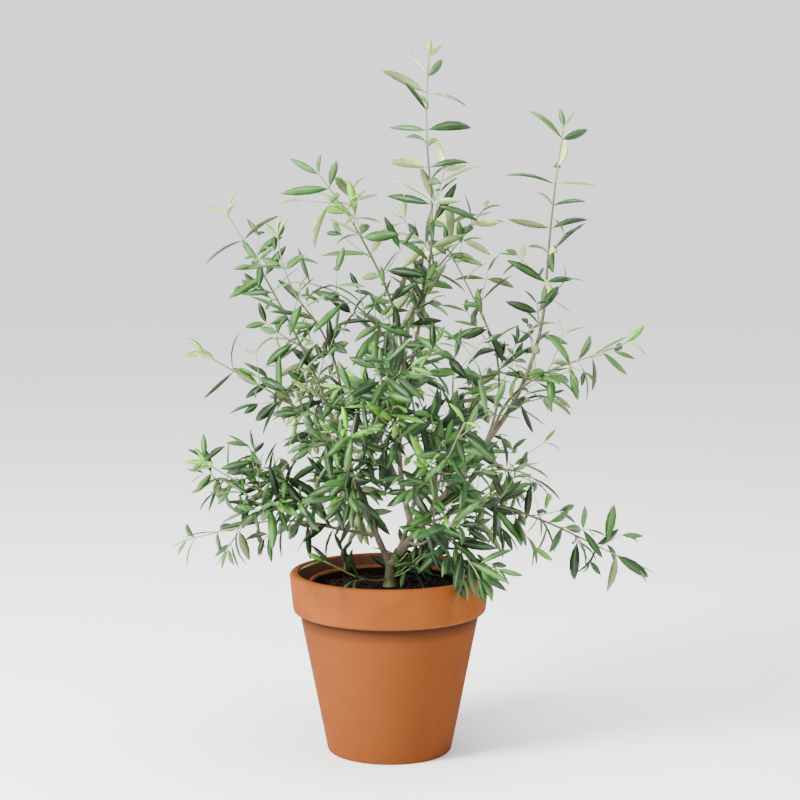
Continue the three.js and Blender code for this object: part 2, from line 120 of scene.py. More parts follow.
class OliveTreeSettings(bpy.types.PropertyGroup):
    leaf_length: length("Leaf length", "Length of a full leaf", 0.063)
    leaf_width: length("Leaf width", "Width of a full leaf", 0.0132)
    leaf_gap: length("Leaf spacing", "Distance between one pair of leaves and the next", 0.026)
    fine_twig: length("Fine twigs", "Longest of the finer twigs", 0.052)
    seed: IntProperty(name="Seed", description="Seed of the finer twigs and the leaves", default=11)
    bark: colour("Bark", "Grey bark of the trunk and old boughs", (0.150, 0.136, 0.090))
    moss: colour("Moss", "Green growth at the foot of the trunk", (0.140, 0.172, 0.055))
    young_bark: colour("Young bark", "Smooth bark of young shoots", (0.120, 0.116, 0.062))
    green_stem: colour("Green stem", "Tips of the shoots", (0.190, 0.250, 0.085))
    # Deep and dark leaves are chosen more often towards the heart of the crown, as painted shade.
    leaf_deep: colour("Deep leaf", "Upper side of an old inner leaf", (0.0085, 0.0260, 0.0064))
    leaf_dark: colour("Dark leaf", "Upper side of an old leaf", (0.0150, 0.0550, 0.0096))
    leaf_green: colour("Green leaf", "Upper side of a grown leaf", (0.043, 0.131, 0.0215))
    leaf_young: colour("Young leaf", "Upper side of a young leaf", (0.115, 0.330, 0.022))
    leaf_bud: colour("Opening leaf", "Pale upper side of the newest high leaves", (0.360, 0.430, 0.180))
    # Painted shade: the underside of a leaf deep in the crown.
    leaf_dull: colour("Inner underside", "Underside of an old inner leaf", (0.072, 0.100, 0.046))
    leaf_silver: colour("Underside", "Silvery underside of a leaf", (0.170, 0.230, 0.095))
    leaf_pale: colour("Young underside", "Underside of a young leaf", (0.500, 0.670, 0.250))
    leaf_rib: colour("Rib", "Middle rib of a leaf", (0.036, 0.088, 0.022))


class OliveStageSettings(bpy.types.PropertyGroup):
    floor: colour("Floor", "Pale floor", (0.97, 0.97, 0.97))
    sky: colour("Studio", "Light of the pale studio", (1.0, 1.0, 1.0))
    key: FloatProperty(name="Key light", description="Power of the soft key light", default=470.0)
    fill: FloatProperty(name="Studio light", description="Strength of the studio", default=1.5)


# ---------------------------------------------------------------- pieces and materials


def settle(bm, name, materials, nodes, smooth=True):
    """Turn a bmesh into a finished piece that rides on the body and replaces CAD nodes."""
    mesh = bpy.data.meshes.new(name)
    bm.to_mesh(mesh)
    bm.free()
    return finish_piece(mesh, name, materials, nodes, smooth)


def finish_piece(mesh, name, materials, nodes, smooth=True):
    """Give a mesh its materials, and put it in place of the CAD nodes."""
    for material in materials:
        mesh.materials.append(material)
    mesh.polygons.foreach_set("use_smooth", [smooth] * len(mesh.polygons))
    piece = bpy.data.objects.new(name, mesh)
    bpy.context.scene.collection.objects.link(piece)
    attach(piece, "root")
    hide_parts(*nodes)
    return piece


def toned(colour, factor, lift=0.0):
    """A colour made darker or lighter."""
    return tuple(min(1.0, factor * c + lift) for c in colour)


class Finish:
    """A new material, and the short steps that build up its pattern."""

    def __init__(self, name, base, roughness, sheen=0.3):
        self.material = bpy.data.materials.new(name)
        self.material.use_nodes = True
        self.surface = self.material.node_tree.nodes["Principled BSDF"]
        self.surface.inputs["Base Color"].default_value = (*base, 1)
        self.surface.inputs["Roughness"].default_value = roughness
        self.surface.inputs["Specular IOR Level"].default_value = sheen

    def link(self, source, target):
        self.material.node_tree.links.new(source, target)

    def add(self, kind, **inputs):
        """A new node with the values of its inputs."""
        node = self.material.node_tree.nodes.new("ShaderNode" + kind)
        for name, value in inputs.items():
            node.inputs[name.replace("_", " ")].default_value = value
        return node

    def noise(self, scale, detail, roughness=0.5, stretch=(1, 1, 1)):
        """Noise on the object's own coordinates, in cycles per metre."""
        place = self.add("TexCoord")
        mapping = self.add("Mapping", Scale=stretch)
        texture = self.add("TexNoise", Scale=scale, Detail=detail, Roughness=roughness)
        self.link(place.outputs["Object"], mapping.inputs["Vector"])
        self.link(mapping.outputs["Vector"], texture.inputs["Vector"])
        return texture.outputs["Fac"]

    def ramp(self, source, *stops):
        """Greys by position along a 0 to 1 source."""
        band = self.add("ValToRGB")
        elements = band.color_ramp.elements
        while len(elements) < len(stops):
            elements.new(0.5)
        for element, (position, grey) in zip(elements, stops):
            element.position = position
            element.color = (grey, grey, grey, 1)
        self.link(source, band.inputs["Fac"])
        return band.outputs["Color"]

    def blend(self, amount, low, high):
        """Mix two colours, each a socket or a plain colour, by a socket."""
        mix = self.add("Mix")
        mix.data_type = "RGBA"
        self.link(amount, mix.inputs["Factor"])
        for name, value in (("A", low), ("B", high)):
            target = next(i for i in mix.inputs if i.name == name and i.type == "RGBA")
            if isinstance(value, bpy.types.NodeSocket):
                self.link(value, target)
            else:
                target.default_value = (*value, 1)
        return next(o for o in mix.outputs if o.type == "RGBA")

    def speckled(self, tone, colour, grain, *stops):
        """A tone with a colour laid over it where noise of that grain is light, by the stops."""
        return self.blend(self.ramp(self.noise(*grain), *stops), tone, colour)

    def between(self, source, low, high):
        """A source's place between two values, as 0 to 1."""
        share = self.add("MapRange", From_Min=low, From_Max=high)
        self.link(source, share.inputs["Value"])
        return share.outputs["Result"]

    def height_share(self, low, high):
        """Height, as 0 at the low level and 1 at the high one."""
        place = self.add("TexCoord")
        apart = self.add("SeparateXYZ")
        self.link(place.outputs["Object"], apart.inputs["Vector"])
        return self.between(apart.outputs["Z"], low, high)

    def radius_share(self, inner, outer):
        """Distance from the pot's axis, as 0 at the inner radius and 1 at the outer."""
        place = self.add("TexCoord")
        flat = self.add("VectorMath")
        flat.operation = "MULTIPLY"
        flat.inputs[1].default_value = (1, 1, 0)
        self.link(place.outputs["Object"], flat.inputs[0])
        reach = self.add("VectorMath")
        reach.operation = "LENGTH"
        self.link(flat.outputs["Vector"], reach.inputs[0])
        return self.between(reach.outputs["Value"], inner, outer)

    def colour(self, tone):
        self.link(tone, self.surface.inputs["Base Color"])

    def relief(self, height, distance, strength):
        """Raise the surface where the height is light."""
        bump = self.add("Bump", Strength=strength, Distance=distance)
        self.link(height, bump.inputs["Height"])
        self.link(bump.outputs["Normal"], self.surface.inputs["Normal"])


def fired_clay(s):
    """Clouded clay with bloom, grit and pits, painted shade on the body below its rim band, a painted
    shadow right under the band, and a damp inner face darkened with painted shade.
    """
    clay = Finish("fired_clay", s.clay, 0.85, 0.05)
    tone = clay.speckled(s.clay, s.clay_dark, (7, 4, 0.55), (0.38, 0.0), (0.66, 1.0))
    tone = clay.speckled(tone, s.clay_bloom, (16, 7, 0.68, (1, 1, 0.55)), (0.50, 0.0), (0.80, 0.55))
    tone = clay.speckled(tone, s.clay_bloom, (520, 2), (0.66, 0.0), (0.74, 0.5))
    tone = clay.speckled(tone, s.clay_dark, (380, 2), (0.26, 0.45), (0.33, 0.0))
    # Painted shade: the body below the rim band is blended towards the dark clay.
    low = clay.ramp(clay.height_share(0.0, s.height), (0.70, 0.80), (0.79, 0.0))
    tone = clay.blend(low, tone, s.clay_dark)
    # Painted shadow right under the rim band, in a darker tone of the damp clay, its edge wavering with
    # noise.
    rough_height = clay.blend(
        clay.noise(9, 3),
        clay.height_share(0.0, s.height),
        clay.height_share(0.0, s.height * 0.985),
    )
    under_rim_shade = clay.ramp(rough_height, *UNDER_RIM_SHADE_BAND)
    tone = clay.blend(under_rim_shade, tone, toned(s.clay_damp_and_shade, 0.3))
    # The inner face of the rim: damp clay, darkened as painted shade as well.
    mouth = s.lip_radius - s.wall
    outside = clay.radius_share(mouth - 0.004, mouth - 0.001)
    above = clay.ramp(clay.height_share(0.0, s.height), (0.79, 0.0), (0.81, 1.0))
    damp = clay.add("Math")
    damp.operation = "SUBTRACT"
    damp.use_clamp = True
    clay.link(above, damp.inputs[0])
    clay.link(outside, damp.inputs[1])
    clay.colour(clay.blend(damp.outputs["Value"], tone, s.clay_damp_and_shade))
    dull = clay.ramp(clay.noise(45, 4), (0.3, 0.74), (0.7, 0.92))
    clay.link(dull, clay.surface.inputs["Roughness"])
    clay.relief(clay.noise(420, 5, 0.7), 0.0005, 0.55)
    return clay.material


def nursery_plastic(s):
    """Scuffed plastic, near black up to just under its rolled edge."""
    plastic = Finish("nursery_plastic", s.plastic, 0.85, 0.03)
    dusty = toned(s.plastic, 1.5, 0.03)
    tone = plastic.speckled(s.plastic, dusty, (60, 6, 0.7), (0.45, 0.0), (0.75, 0.6))
    rolled_edge_share = plastic.height_share(NURSERY_HIGH.z - 0.0045, NURSERY_HIGH.z - 0.0028)
    plastic.colour(plastic.blend(rolled_edge_share, toned(s.compost, 0.5), tone))
    plastic.relief(plastic.noise(900, 3), 0.0001, 0.4)
    return plastic.material


def damp_compost(s):
    compost = Finish("damp_compost", s.compost, 0.95, 0.08)
    fibre = toned(s.compost, 2.4, 0.008)
    compost.colour(compost.speckled(s.compost, fibre, (260, 6, 0.75), (0.46, 0.0), (0.72, 1.0)))
    compost.relief(compost.noise(420, 8, 0.8), 0.002, 0.9)
    return compost.material


def bark_material(name, base, streak, lichen, moss, scale):
    """Streaked bark with spots of lichen, mossy towards the trunk's foot."""
    bark = Finish(name, base, 0.86)
    grain = bark.noise(scale, 7, 0.7, (1, 1, 0.28))
    tone = bark.blend(bark.ramp(grain, (0.36, 0.0), (0.66, 1.0)), streak, base)
    tone = bark.speckled(tone, lichen, (95, 5, 0.6), (0.54, 0.0), (0.72, 0.7))
    mossy = bark.ramp(bark.height_share(MOSS_TOP * MM, TRUNK_FOOT * MM), (0.0, 0.0), (1.0, 0.75))
    bark.colour(bark.blend(mossy, tone, moss))
    bark.relief(grain, 0.0009, 0.7)
    return bark.material


def stem_material(name, base, roughness):
    stem = Finish(name, base, roughness)
    stem.colour(stem.blend(stem.noise(130, 4), toned(base, 0.62), base))
    return stem.material


def leaf_material(name, base, roughness, sheen, drift, veins):
    """Leaf skin: its tone drifts along the spray, and faint veins break up its gloss."""
    leaf = Finish(name, base, roughness, sheen)
    darker, lighter = toned(base, 1 - drift), toned(base, 1 + drift)
    leaf.colour(leaf.speckled(darker, lighter, (34, 3), (0.34, 0.0), (0.66, 1.0)))
    if veins:
        leaf.relief(leaf.noise(210, 2), 0.0003, veins)
    return leaf.material


# ---------------------------------------------------------------- pot, nursery pot and compost

# How dark the painted shadow under the rim band is, by share of the pot's height: it lies right under
# the band.
UNDER_RIM_SHADE_BAND = ((0.698, 0.0), (0.722, 0.42), (0.745, 0.66), (0.768, 0.92), (0.783, 0.96), (0.789, 0.0))

SHOULDER_RADIUS = 0.134
SHOULDER_ROUND = 0.0035
FOOT_ROUND = 0.0045
RIM_DRAWS_IN = 0.005
LIP_ROUND = 0.006
MOUTH_ROUND = 0.004
MOUTH_DRAWS_IN = 0.003
POT_FLOOR = 0.014
POT_SEGMENTS = 144
DRAIN_COUNT = 3
DRAIN_RADIUS = 0.008
DRAIN_CIRCLE = 0.048
NURSERY_BASE_RADIUS = 0.079
NURSERY_BEAD_WIDTH = 0.0034
NURSERY_WALL = 0.0022
COMPOST_INSET = 0.0029
CRUMB_COUNT = 620
CRUMB_CIRCLE = 0.113
CRUMB_FREE = 0.014


def rounded(centre_radius, centre_height, size, start, end, steps):
    """Points of an arc in the profile's plane, as (radius, height)."""
    angles = [math.radians(start + (end - start) * i / steps) for i in range(steps + 1)]
    return [(centre_radius + size * math.cos(a), centre_height + size * math.sin(a)) for a in angles]


def turn(profile, steps):
    """Spin a closed (radius, height) profile, whose ends lie on the axis, into a solid."""
    bm = bmesh.new()
    corners = [bm.verts.new((radius, 0, height)) for radius, height in profile]
    for low, high in zip(corners, corners[1:]):
        bm.edges.new((low, high))
    bmesh.ops.spin(
        bm,
        geom=bm.verts[:] + bm.edges[:],
        axis=(0, 0, 1),
        cent=(0, 0, 0),
        angle=2 * math.pi,
        steps=steps,
        use_merge=True,
    )
    bmesh.ops.remove_doubles(bm, verts=bm.verts, dist=1e-6)
    bmesh.ops.recalc_face_normals(bm, faces=bm.faces)
    return bm


def stretch_profile(profile, spacing):
    """Add points so that no step of the profile is longer than the spacing."""
    finer = [profile[0]]
    for (r0, z0), (r1, z1) in zip(profile, profile[1:]):
        count = max(1, round(math.hypot(r1 - r0, z1 - z0) / spacing))
        finer += [(r0 + (r1 - r0) * i / count, z0 + (z1 - z0) * i / count) for i in range(1, count + 1)]
    return finer


def pot_profile(s):
    """From the underside's centre up the outer face, over the lip and down to the floor's centre."""
    rim_foot = s.height - s.rim_height
    shoulder, lip = SHOULDER_RADIUS, LIP_ROUND
    inner = s.lip_radius - s.wall - MOUTH_DRAWS_IN
    return [
        (0.0, 0.0),
        (s.base_radius - 0.005, 0.0),
        *rounded(s.base_radius - FOOT_ROUND, FOOT_ROUND, FOOT_ROUND, -80, -8, 4),
        (shoulder - 0.0008, rim_foot - 0.010),
        (shoulder, rim_foot - 0.004),
        *rounded(shoulder + SHOULDER_ROUND, rim_foot - SHOULDER_ROUND, SHOULDER_ROUND, 180, 95, 3),
        *rounded(s.lip_radius - RIM_DRAWS_IN - lip, rim_foot + lip, lip, -80, -4, 5),
        *rounded(s.lip_radius - lip, s.height - lip, lip, 0, 84, 6),
        *rounded(inner + MOUTH_ROUND, s.height - MOUTH_ROUND, MOUTH_ROUND, 96, 176, 4),
        (shoulder - s.wall + 0.001, rim_foot - 0.014),
        (s.base_radius - s.wall, POT_FLOOR),
        (0.0, POT_FLOOR),
    ]


def nursery_radius(height):
    """Outer radius of the nursery pot's wall at a height."""
    share = (height - NURSERY_LOW.z) / (NURSERY_HIGH.z - NURSERY_LOW.z)
    top_radius = NURSERY_HIGH.x - NURSERY_BEAD_WIDTH
    return NURSERY_BASE_RADIUS + (top_radius - NURSERY_BASE_RADIUS) * share


def nursery_profile():
    """From the centre of the underside up the wall, over the rolled edge and down inside."""
    foot, top = NURSERY_LOW.z, NURSERY_HIGH.z
    bead = NURSERY_BEAD_WIDTH / 2
    neck = top - 2 * NURSERY_BEAD_WIDTH
    return [
        (0.0, foot),
        (nursery_radius(foot) - 0.001, foot),
        (nursery_radius(foot), foot + 0.001),
        (nursery_radius(neck), neck),
        *rounded(NURSERY_HIGH.x - bead, top - bead, bead, -80, 90, 6),
        (nursery_radius(top) - 0.0006, top - 0.0003),
        (nursery_radius(top) - NURSERY_WALL, top - 0.0012),
        (nursery_radius(foot) - NURSERY_WALL, foot + NURSERY_WALL),
        (0.0, foot + NURSERY_WALL),
    ]


def compost_profile():
    """The fill's outline: its edge lies inside the wall, and it rises towards the trunk."""
    foot = COMPOST_LOW.z
    level = COMPOST_HIGH.z - 0.003
    edge = nursery_radius(level) - COMPOST_INSET
    return [
        (0.0, foot),
        (nursery_radius(foot) - COMPOST_INSET, foot),
        (edge, level - 0.001),
        (edge - 0.002, level),
        (NURSERY_BASE_RADIUS, level),
        (0.030, level + 0.0022),
        (0.0, level + 0.0028),
    ]


class OLIVE_OT_pot(bpy.types.Operator):
    """Turn the terracotta pot, with its rim band, rounded lip and drain holes"""

    bl_idname = "olive.terracotta_pot"
    bl_label = "Terracotta Pot"

    def execute(self, context):
        s = context.scene.olive_pot
        bm = turn(stretch_profile(pot_profile(s), 0.012), POT_SEGMENTS)
        for corner in bm.verts:
            away = Vector((corner.co.x, corner.co.y, 0))
            if corner.co.z > 0.001 and away.length > 0.02:
                uneven = noise.noise(corner.co * 9) + 0.35 * noise.noise(corner.co * 38)
                corner.co -= away.normalized() * (0.0003 + 0.0003 * uneven)
        pot = settle(bm, "olive_pot", [fired_clay(s)], ["terracotta_pot"])
        cut_drain_holes(pot)
        return {"FINISHED"}


def cut_drain_holes(pot):
    """Round holes through the floor of the pot, cut with a boolean that is then applied."""
    bm = bmesh.new()
    for i in range(DRAIN_COUNT):
        angle = math.radians(120 * i + 30)
        middle = (DRAIN_CIRCLE * math.cos(angle), DRAIN_CIRCLE * math.sin(angle), POT_FLOOR / 2)
        bmesh.ops.create_cone(
            bm,
            cap_ends=True,
            segments=32,
            radius1=DRAIN_RADIUS,
            radius2=DRAIN_RADIUS,
            depth=0.04,
            matrix=Matrix.Translation(middle),
        )
    mesh = bpy.data.meshes.new("drain_holes")
    bm.to_mesh(mesh)
    bm.free()
    cutter = bpy.data.objects.new("drain_holes", mesh)
    bpy.context.scene.collection.objects.link(cutter)
    cut = pot.modifiers.new("drain_holes", "BOOLEAN")
    cut.operation = "DIFFERENCE"
    cut.solver = "EXACT"
    cut.object = cutter
    bpy.context.view_layer.update()
    evaluated = pot.evaluated_get(bpy.context.evaluated_depsgraph_get())
    uncut, pot.data = pot.data, bpy.data.meshes.new_from_object(evaluated)
    pot.modifiers.clear()
    bpy.data.meshes.remove(uncut)
    bpy.data.objects.remove(cutter)
    pot.data.name = pot.name
    pot.data.polygons.foreach_set("use_smooth", [True] * len(pot.data.polygons))


class OLIVE_OT_nursery_pot(bpy.types.Operator):
    """Turn the thin nursery pot with its rolled edge"""

    bl_idname = "olive.nursery_pot"
    bl_label = "Nursery Pot"

    def execute(self, context):
        plastic = nursery_plastic(context.scene.olive_pot)
        bm = turn(nursery_profile(), 120)
        settle(bm, "olive_nursery_pot", [plastic], ["nursery_pot"])
        return {"FINISHED"}


class OLIVE_OT_compost(bpy.types.Operator):
    """Fill the nursery pot with compost, with crumbs and fibres lying on it"""

    bl_idname = "olive.compost"
    bl_label = "Compost"

    def execute(self, context):
        s = context.scene.olive_pot
        bm = turn(stretch_profile(compost_profile(), 0.0035), 130)
        level = COMPOST_HIGH.z
        for corner in bm.verts:
            if corner.co.z > level - 0.0045:
                rough = noise.noise(corner.co * 75) + 0.6 * noise.noise(corner.co * 210)
                corner.co.z += min(0.0022, 0.0017 * rough)
                corner.co.z -= 0.0016
        draw = SeededDraw(404)
        for _ in range(CRUMB_COUNT):
            radius = CRUMB_CIRCLE * math.sqrt(draw())
            angle = 2 * math.pi * draw()
            if radius >= CRUMB_FREE:
                self.add_crumb(bm, radius, angle, level, draw)
        settle(bm, "olive_compost", [damp_compost(s)], ["compost"], smooth=False)
        return {"FINISHED"}

    def add_crumb(self, bm, radius, angle, level, draw):
        """One crumb or fibre, turned and squashed at random and half sunk in the compost."""
        size = 0.0008 + 0.0026 * draw() ** 2.2
        middle = (radius * math.cos(angle), radius * math.sin(angle), level - 0.0032 + 0.3 * size)
        tilt = Matrix.Rotation(6.28 * draw(), 4, Vector((draw() - 0.5, draw() - 0.5, draw())))
        squash = Matrix.Diagonal((1 + 1.2 * draw(), 0.6 + 0.5 * draw(), 0.5 + 0.4 * draw(), 1))
        place = Matrix.Translation(middle) @ tilt @ squash
        bmesh.ops.create_icosphere(bm, subdivisions=1, radius=size, matrix=place)


# ---------------------------------------------------------------- the tree's plan, in millimetres

POT_RADIUS = 150.0
POT_TOP = 272.0
POT_MOUTH = 133.0
NURSERY_TOP = 258.0
NURSERY_MOUTH = 114.2
SOIL_LEVEL = 245.0
SOIL_CROWN = 3.0
SOIL_FLAT = 79.0
TRUNK_FOOT = 248.3
FORK_HEIGHT = 280.0
MOSS_TOP = 286.0
FLARE_RADIUS = 11.0
TRUNK_RADIUS = 7.3
TRUNK_LEAN = (1.5, -1.0)
PATH_STEP = 5.0
LIMB_TIP_RADIUS = 1.0
LIMB_TAPER = 1.3
GOLDEN_ANGLE = 137.5
UP = np.array([0.0, 0.0, 1.0])

# A pair here is a spread, its least value and its extent. Angles are in degrees.
TWIG_STEP = 10.0
TWIG_FIRST = 14.0
TWIG_GAP = 34.0
TWIG_GAP_SPREAD = (0.75, 0.5)
TWIG_SHORTEST = 25.0
TWIG_REACH = (0.7, 0.3)
TWIG_RADIUS = 1.5
TWIG_ROOT_SHARE = 0.62
TWIG_OUT = (36.0, 26.0)
TWIG_MARGIN = 3.5

FINE_STEP = 6.0
FINE_RADIUS = 0.95
FINE_REACH = (0.55, 0.45)
FINE_OUT = (38, 24)
FINE_TURN = (90, 60)
FINE_GAP_SPREAD = (0.7, 0.6)
FINE_MARGIN = 2.2
FINE_RISE = 0.02
FINE_WANDER = 0.05

Limb = namedtuple("Limb", "name parent at azimuth swing lean bough shoot radius reach bushy rise")

# A limb leaves its parent at the share `at` of the parent's bough, towards its azimuth, and swings
# on the way. Its lean off the vertical is given at its root, its thirds and its tip.
LIMBS = [
    Limb("left_high", "trunk", 1, 168, 0, (26, 19, 28, 33), 255, 325, 5, 84, 0.8, 0.04),
    Limb("right_tall", "trunk", 1, 1, 24, (37, 39, 3, 10), 290, 435, 6.4, 76, 0.55, 0.04),
    Limb("upper_left", "right_tall", 0.205, 196, 0, (20, -8, 24, 39), 340, 230, 4.8, 96, 0.8, 0.04),
    Limb("leader", "upper_left", 0.543, 39, -15, (15, 13, -7, 6), 155, 375, 3.2, 90, 0.5, 0.04),
    Limb("upper_right", "upper_left", 0.797, 73, -60, (18, 39, 47, 35), 75, 185, 2.6, 82, 0.85, 0.03),
    Limb("left_long", "upper_left", 0.736, 231, -45, (36, 41, 58, 90), 70, 165, 2.4, 70, 0.85, 0.05),
    Limb("left_second", "left_high", 0.673, 260, -60, (5, 20, 45, 2), 165, 210, 2.8, 70, 0.8, 0.03),
    Limb("left_mid", "left_high", 0.539, 240, -60, (37, 46, 60, 59), 105, 220, 2.6, 80, 0.65, 0.02),
    Limb("left_low_upper", "left_high", 0.289, 220, -40, (32, 92, 71, 53), 70, 215, 2.8, 96, 0.85, 0.09),
    Limb("left_low", "left_high", 0.193, 165, 10, (84, 80, 105, 104), 55, 245, 2.8, 68, 0.7, -0.03),
    Limb("right_level", "right_tall", 0.865, 330, 15, (13, 53, 72, 66), 120, 140, 2.6, 66, 0.6, 0.03),
    Limb("mid_right", "right_tall", 0.517, 47, -60, (66, 15, -25, -29), 190, 220, 3, 92, 0.85, 0.03),
    Limb("right_low", "right_tall", 0.44, 324, 45, (85, 102, 116, 116), 75, 240, 2.8, 76, 0.75, 0.03),
    Limb("right_side", "right_tall", 0.537, 33, -5, (72, 83, 108, 147), 85, 100, 2.4, 84, 0.9, -0.02),
    Limb("right_spill", "right_tall", 0.305, 277, 40, (78, 98, 118, 145), 85, 110, 2.4, 72, 0.8, -0.05),
    Limb("centre_bright", "right_tall", 0.479, 275, 5, (57, 14, 0, 55), 110, 160, 2.6, 92, 0.9, 0.03),
    Limb("centre_left", "upper_left", 0.209, 258, -40, (60, 41, 31, 34), 65, 110, 2.6, 84, 0.9, 0.02),
    Limb("centre_right", "right_tall", 0.295, 293, -45, (51, 41, 32, 25), 100, 120, 2.8, 88, 0.9, 0.03),
    Limb("back_high", "trunk", 0.86, 45, 101, (40, 33, 28, 25), 205, 220, 4.2, 96, 0.85, 0.04),
    Limb("back_left", "left_high", 0.385, 112, 10, (63, 60, 48, 26), 140, 160, 2.8, 92, 0.9, 0.04),
    Limb("back_right", "back_high", 0.524, 68, -10, (75, 60, 46, 43), 140, 170, 2.8, 92, 0.9, 0.04),
    Limb("back_low_left", "left_high", 0.337, 92, 20, (92, 88, 82, 70), 115, 140, 2.6, 92, 0.9, 0.01),
    Limb("back_low_right", "right_tall", 0.266, 68, -25, (94, 87, 77, 68), 120, 155, 2.6, 92, 0.9, 0.01),
    Limb("front_left", "left_high", 0.366, 261, 5, (64, 60, 51, 37), 120, 125, 2.8, 96, 0.9, 0.03),
    Limb("front_high", "upper_left", 0.29, 272, -25, (70, 55, 41, 37), 125, 160, 2.8, 110, 0.9, 0.03),
    Limb("front_low", "right_tall", 0.15, 300, -50, (92, 60, 34, 46), 120, 135, 2.8, 84, 0.9, 0.02),
    Limb("front_right", "right_tall", 0.382, 268, 22, (64, 60, 54, 48), 130, 155, 2.8, 104, 0.9, 0.03),
    Limb("pot_left", "trunk", 0.375, 213, -20, (104, 74, 60, 63), 30, 85, 1.8, 40, 0.7, 0.05),
]

# Azimuth, lean off the vertical and length of each small shoot at the trunk's foot.
LOW_SPRAYS = [
    (-6, 72, 100), (-30, 76, 88), (16, 64, 92), (44, 72, 84),
    (-20, 62, 106), (4, 56, 112), (30, 58, 96), (70, 68, 70),
]
LOW_SPRAY_ROOT = 12
LOW_SPRAY_RADIUS = 1.3
LOW_LEAF_GAP = 15.0
LOW_LEAF_SCALE = 0.74

# A bare stub that leaves the fork: azimuth, lean off the vertical and length.
STUB = (-34, 64, 42)
STUB_ROOT = 27
STUB_RADIUS = 1.6

# Bright young sprays: where each is, and how far it reaches.
FLUSHES = [(-34, -22, 787, 42), (-1, -150, 530, 17), (72, -150, 567, 16), (-117, -40, 604, 18)]

# How leafy each mass is beside the others: thin on the outer shoots and full at the heart. A mass
# that is not named is at 1, and from LEAFY up a mass has finer twigs on its twigs as well.
LEAFINESS = dict(
    left_high=0.4, right_tall=0.52, upper_left=0.42, leader=0.79, upper_right=0.6,
    left_long=0.4, left_second=0.26, left_mid=0.4, left_low_upper=1.2, left_low=0.6,
    right_level=0.3, mid_right=0.5, right_low=0.46, right_side=0.15, right_spill=1.1,
    back_low_right=0.7, back_right=0.7, centre_bright=0.5, centre_left=1.5, centre_right=1.3,
    front_left=1.1, front_high=1.3, front_low=0.85, front_right=0.5, pot_left=0.7,
)
LEAFY = 0.8


class SeededDraw:
    """The same run of numbers from 0 to 1 for the same seed."""

    def __init__(self, seed):
        self.state = (seed * 2654435761) & 0xFFFFFFFF

    def __call__(self):
        self.state = (self.state * 1664525 + 1013904223) & 0xFFFFFFFF
        return self.state / 2**32

    def of(self, spread):
        """A value of a spread, given as its least value and its extent."""
        return spread[0] + spread[1] * self()


def unit(vector):
    return vector / math.sqrt(vector @ vector)


def point_along(points, along, spacing):
    place = min(along / spacing, len(points) - 1.001)
    i = int(place)
    return points[i] + (points[i + 1] - points[i]) * (place - i)


def direction_along(points, along, spacing):
    i = min(int(along / spacing), len(points) - 2)
    return unit(points[i + 1] - points[i])


def trunk_path():
    count = round((FORK_HEIGHT - TRUNK_FOOT) / PATH_STEP)
    shares = np.arange(count + 1) / count
    heights = TRUNK_FOOT + (FORK_HEIGHT - TRUNK_FOOT) * shares
    return np.stack([TRUNK_LEAN[0] * shares**2, TRUNK_LEAN[1] * shares**2, heights], axis=1)


def trunk_radius(share):
    return TRUNK_RADIUS + (FLARE_RADIUS - TRUNK_RADIUS) * (1 - min(1, 2 * share)) ** 2


def limb_radius(limb, along):
    left = max(0.0, 1 - along / (limb.bough + limb.shoot))
    return LIMB_TIP_RADIUS + (limb.radius - LIMB_TIP_RADIUS) * left**LIMB_TAPER


def limb_path(limb, start):
    """The limb's curve: its lean runs in three straight stretches, its azimuth in one."""
    count = round((limb.bough + limb.shoot) / PATH_STEP)
    points = [start]
    for i in range(count):
        share = (i + 0.5) / count
        third = min(2, int(3 * share))
        lean = limb.lean[third] + (limb.lean[third + 1] - limb.lean[third]) * (3 * share - third)
        lean = math.radians(lean)
        azimuth = math.radians(limb.azimuth + limb.swing * share)
        step = np.array(
            [math.sin(lean) * math.cos(azimuth), math.sin(lean) * math.sin(azimuth), math.cos(lean)]
        )
        points.append(points[-1] + PATH_STEP * step)
    return np.array(points)


def clear_of_pot(points, margin):
    """Which points are clear of both pots and the compost."""
    radius = np.hypot(points[:, 0], points[:, 1])
    height = points[:, 2]
    inner = NURSERY_MOUTH - margin
    level = SOIL_LEVEL + SOIL_CROWN * np.maximum(0, 1 - radius / SOIL_FLAT)
    above_soil = (radius < inner) & (height > level + margin)
    above_bead = (radius >= inner) & (radius < POT_MOUTH - margin) & (height > NURSERY_TOP + margin)
    return (radius > POT_RADIUS + margin) | (height > POT_TOP + margin) | above_soil | above_bead


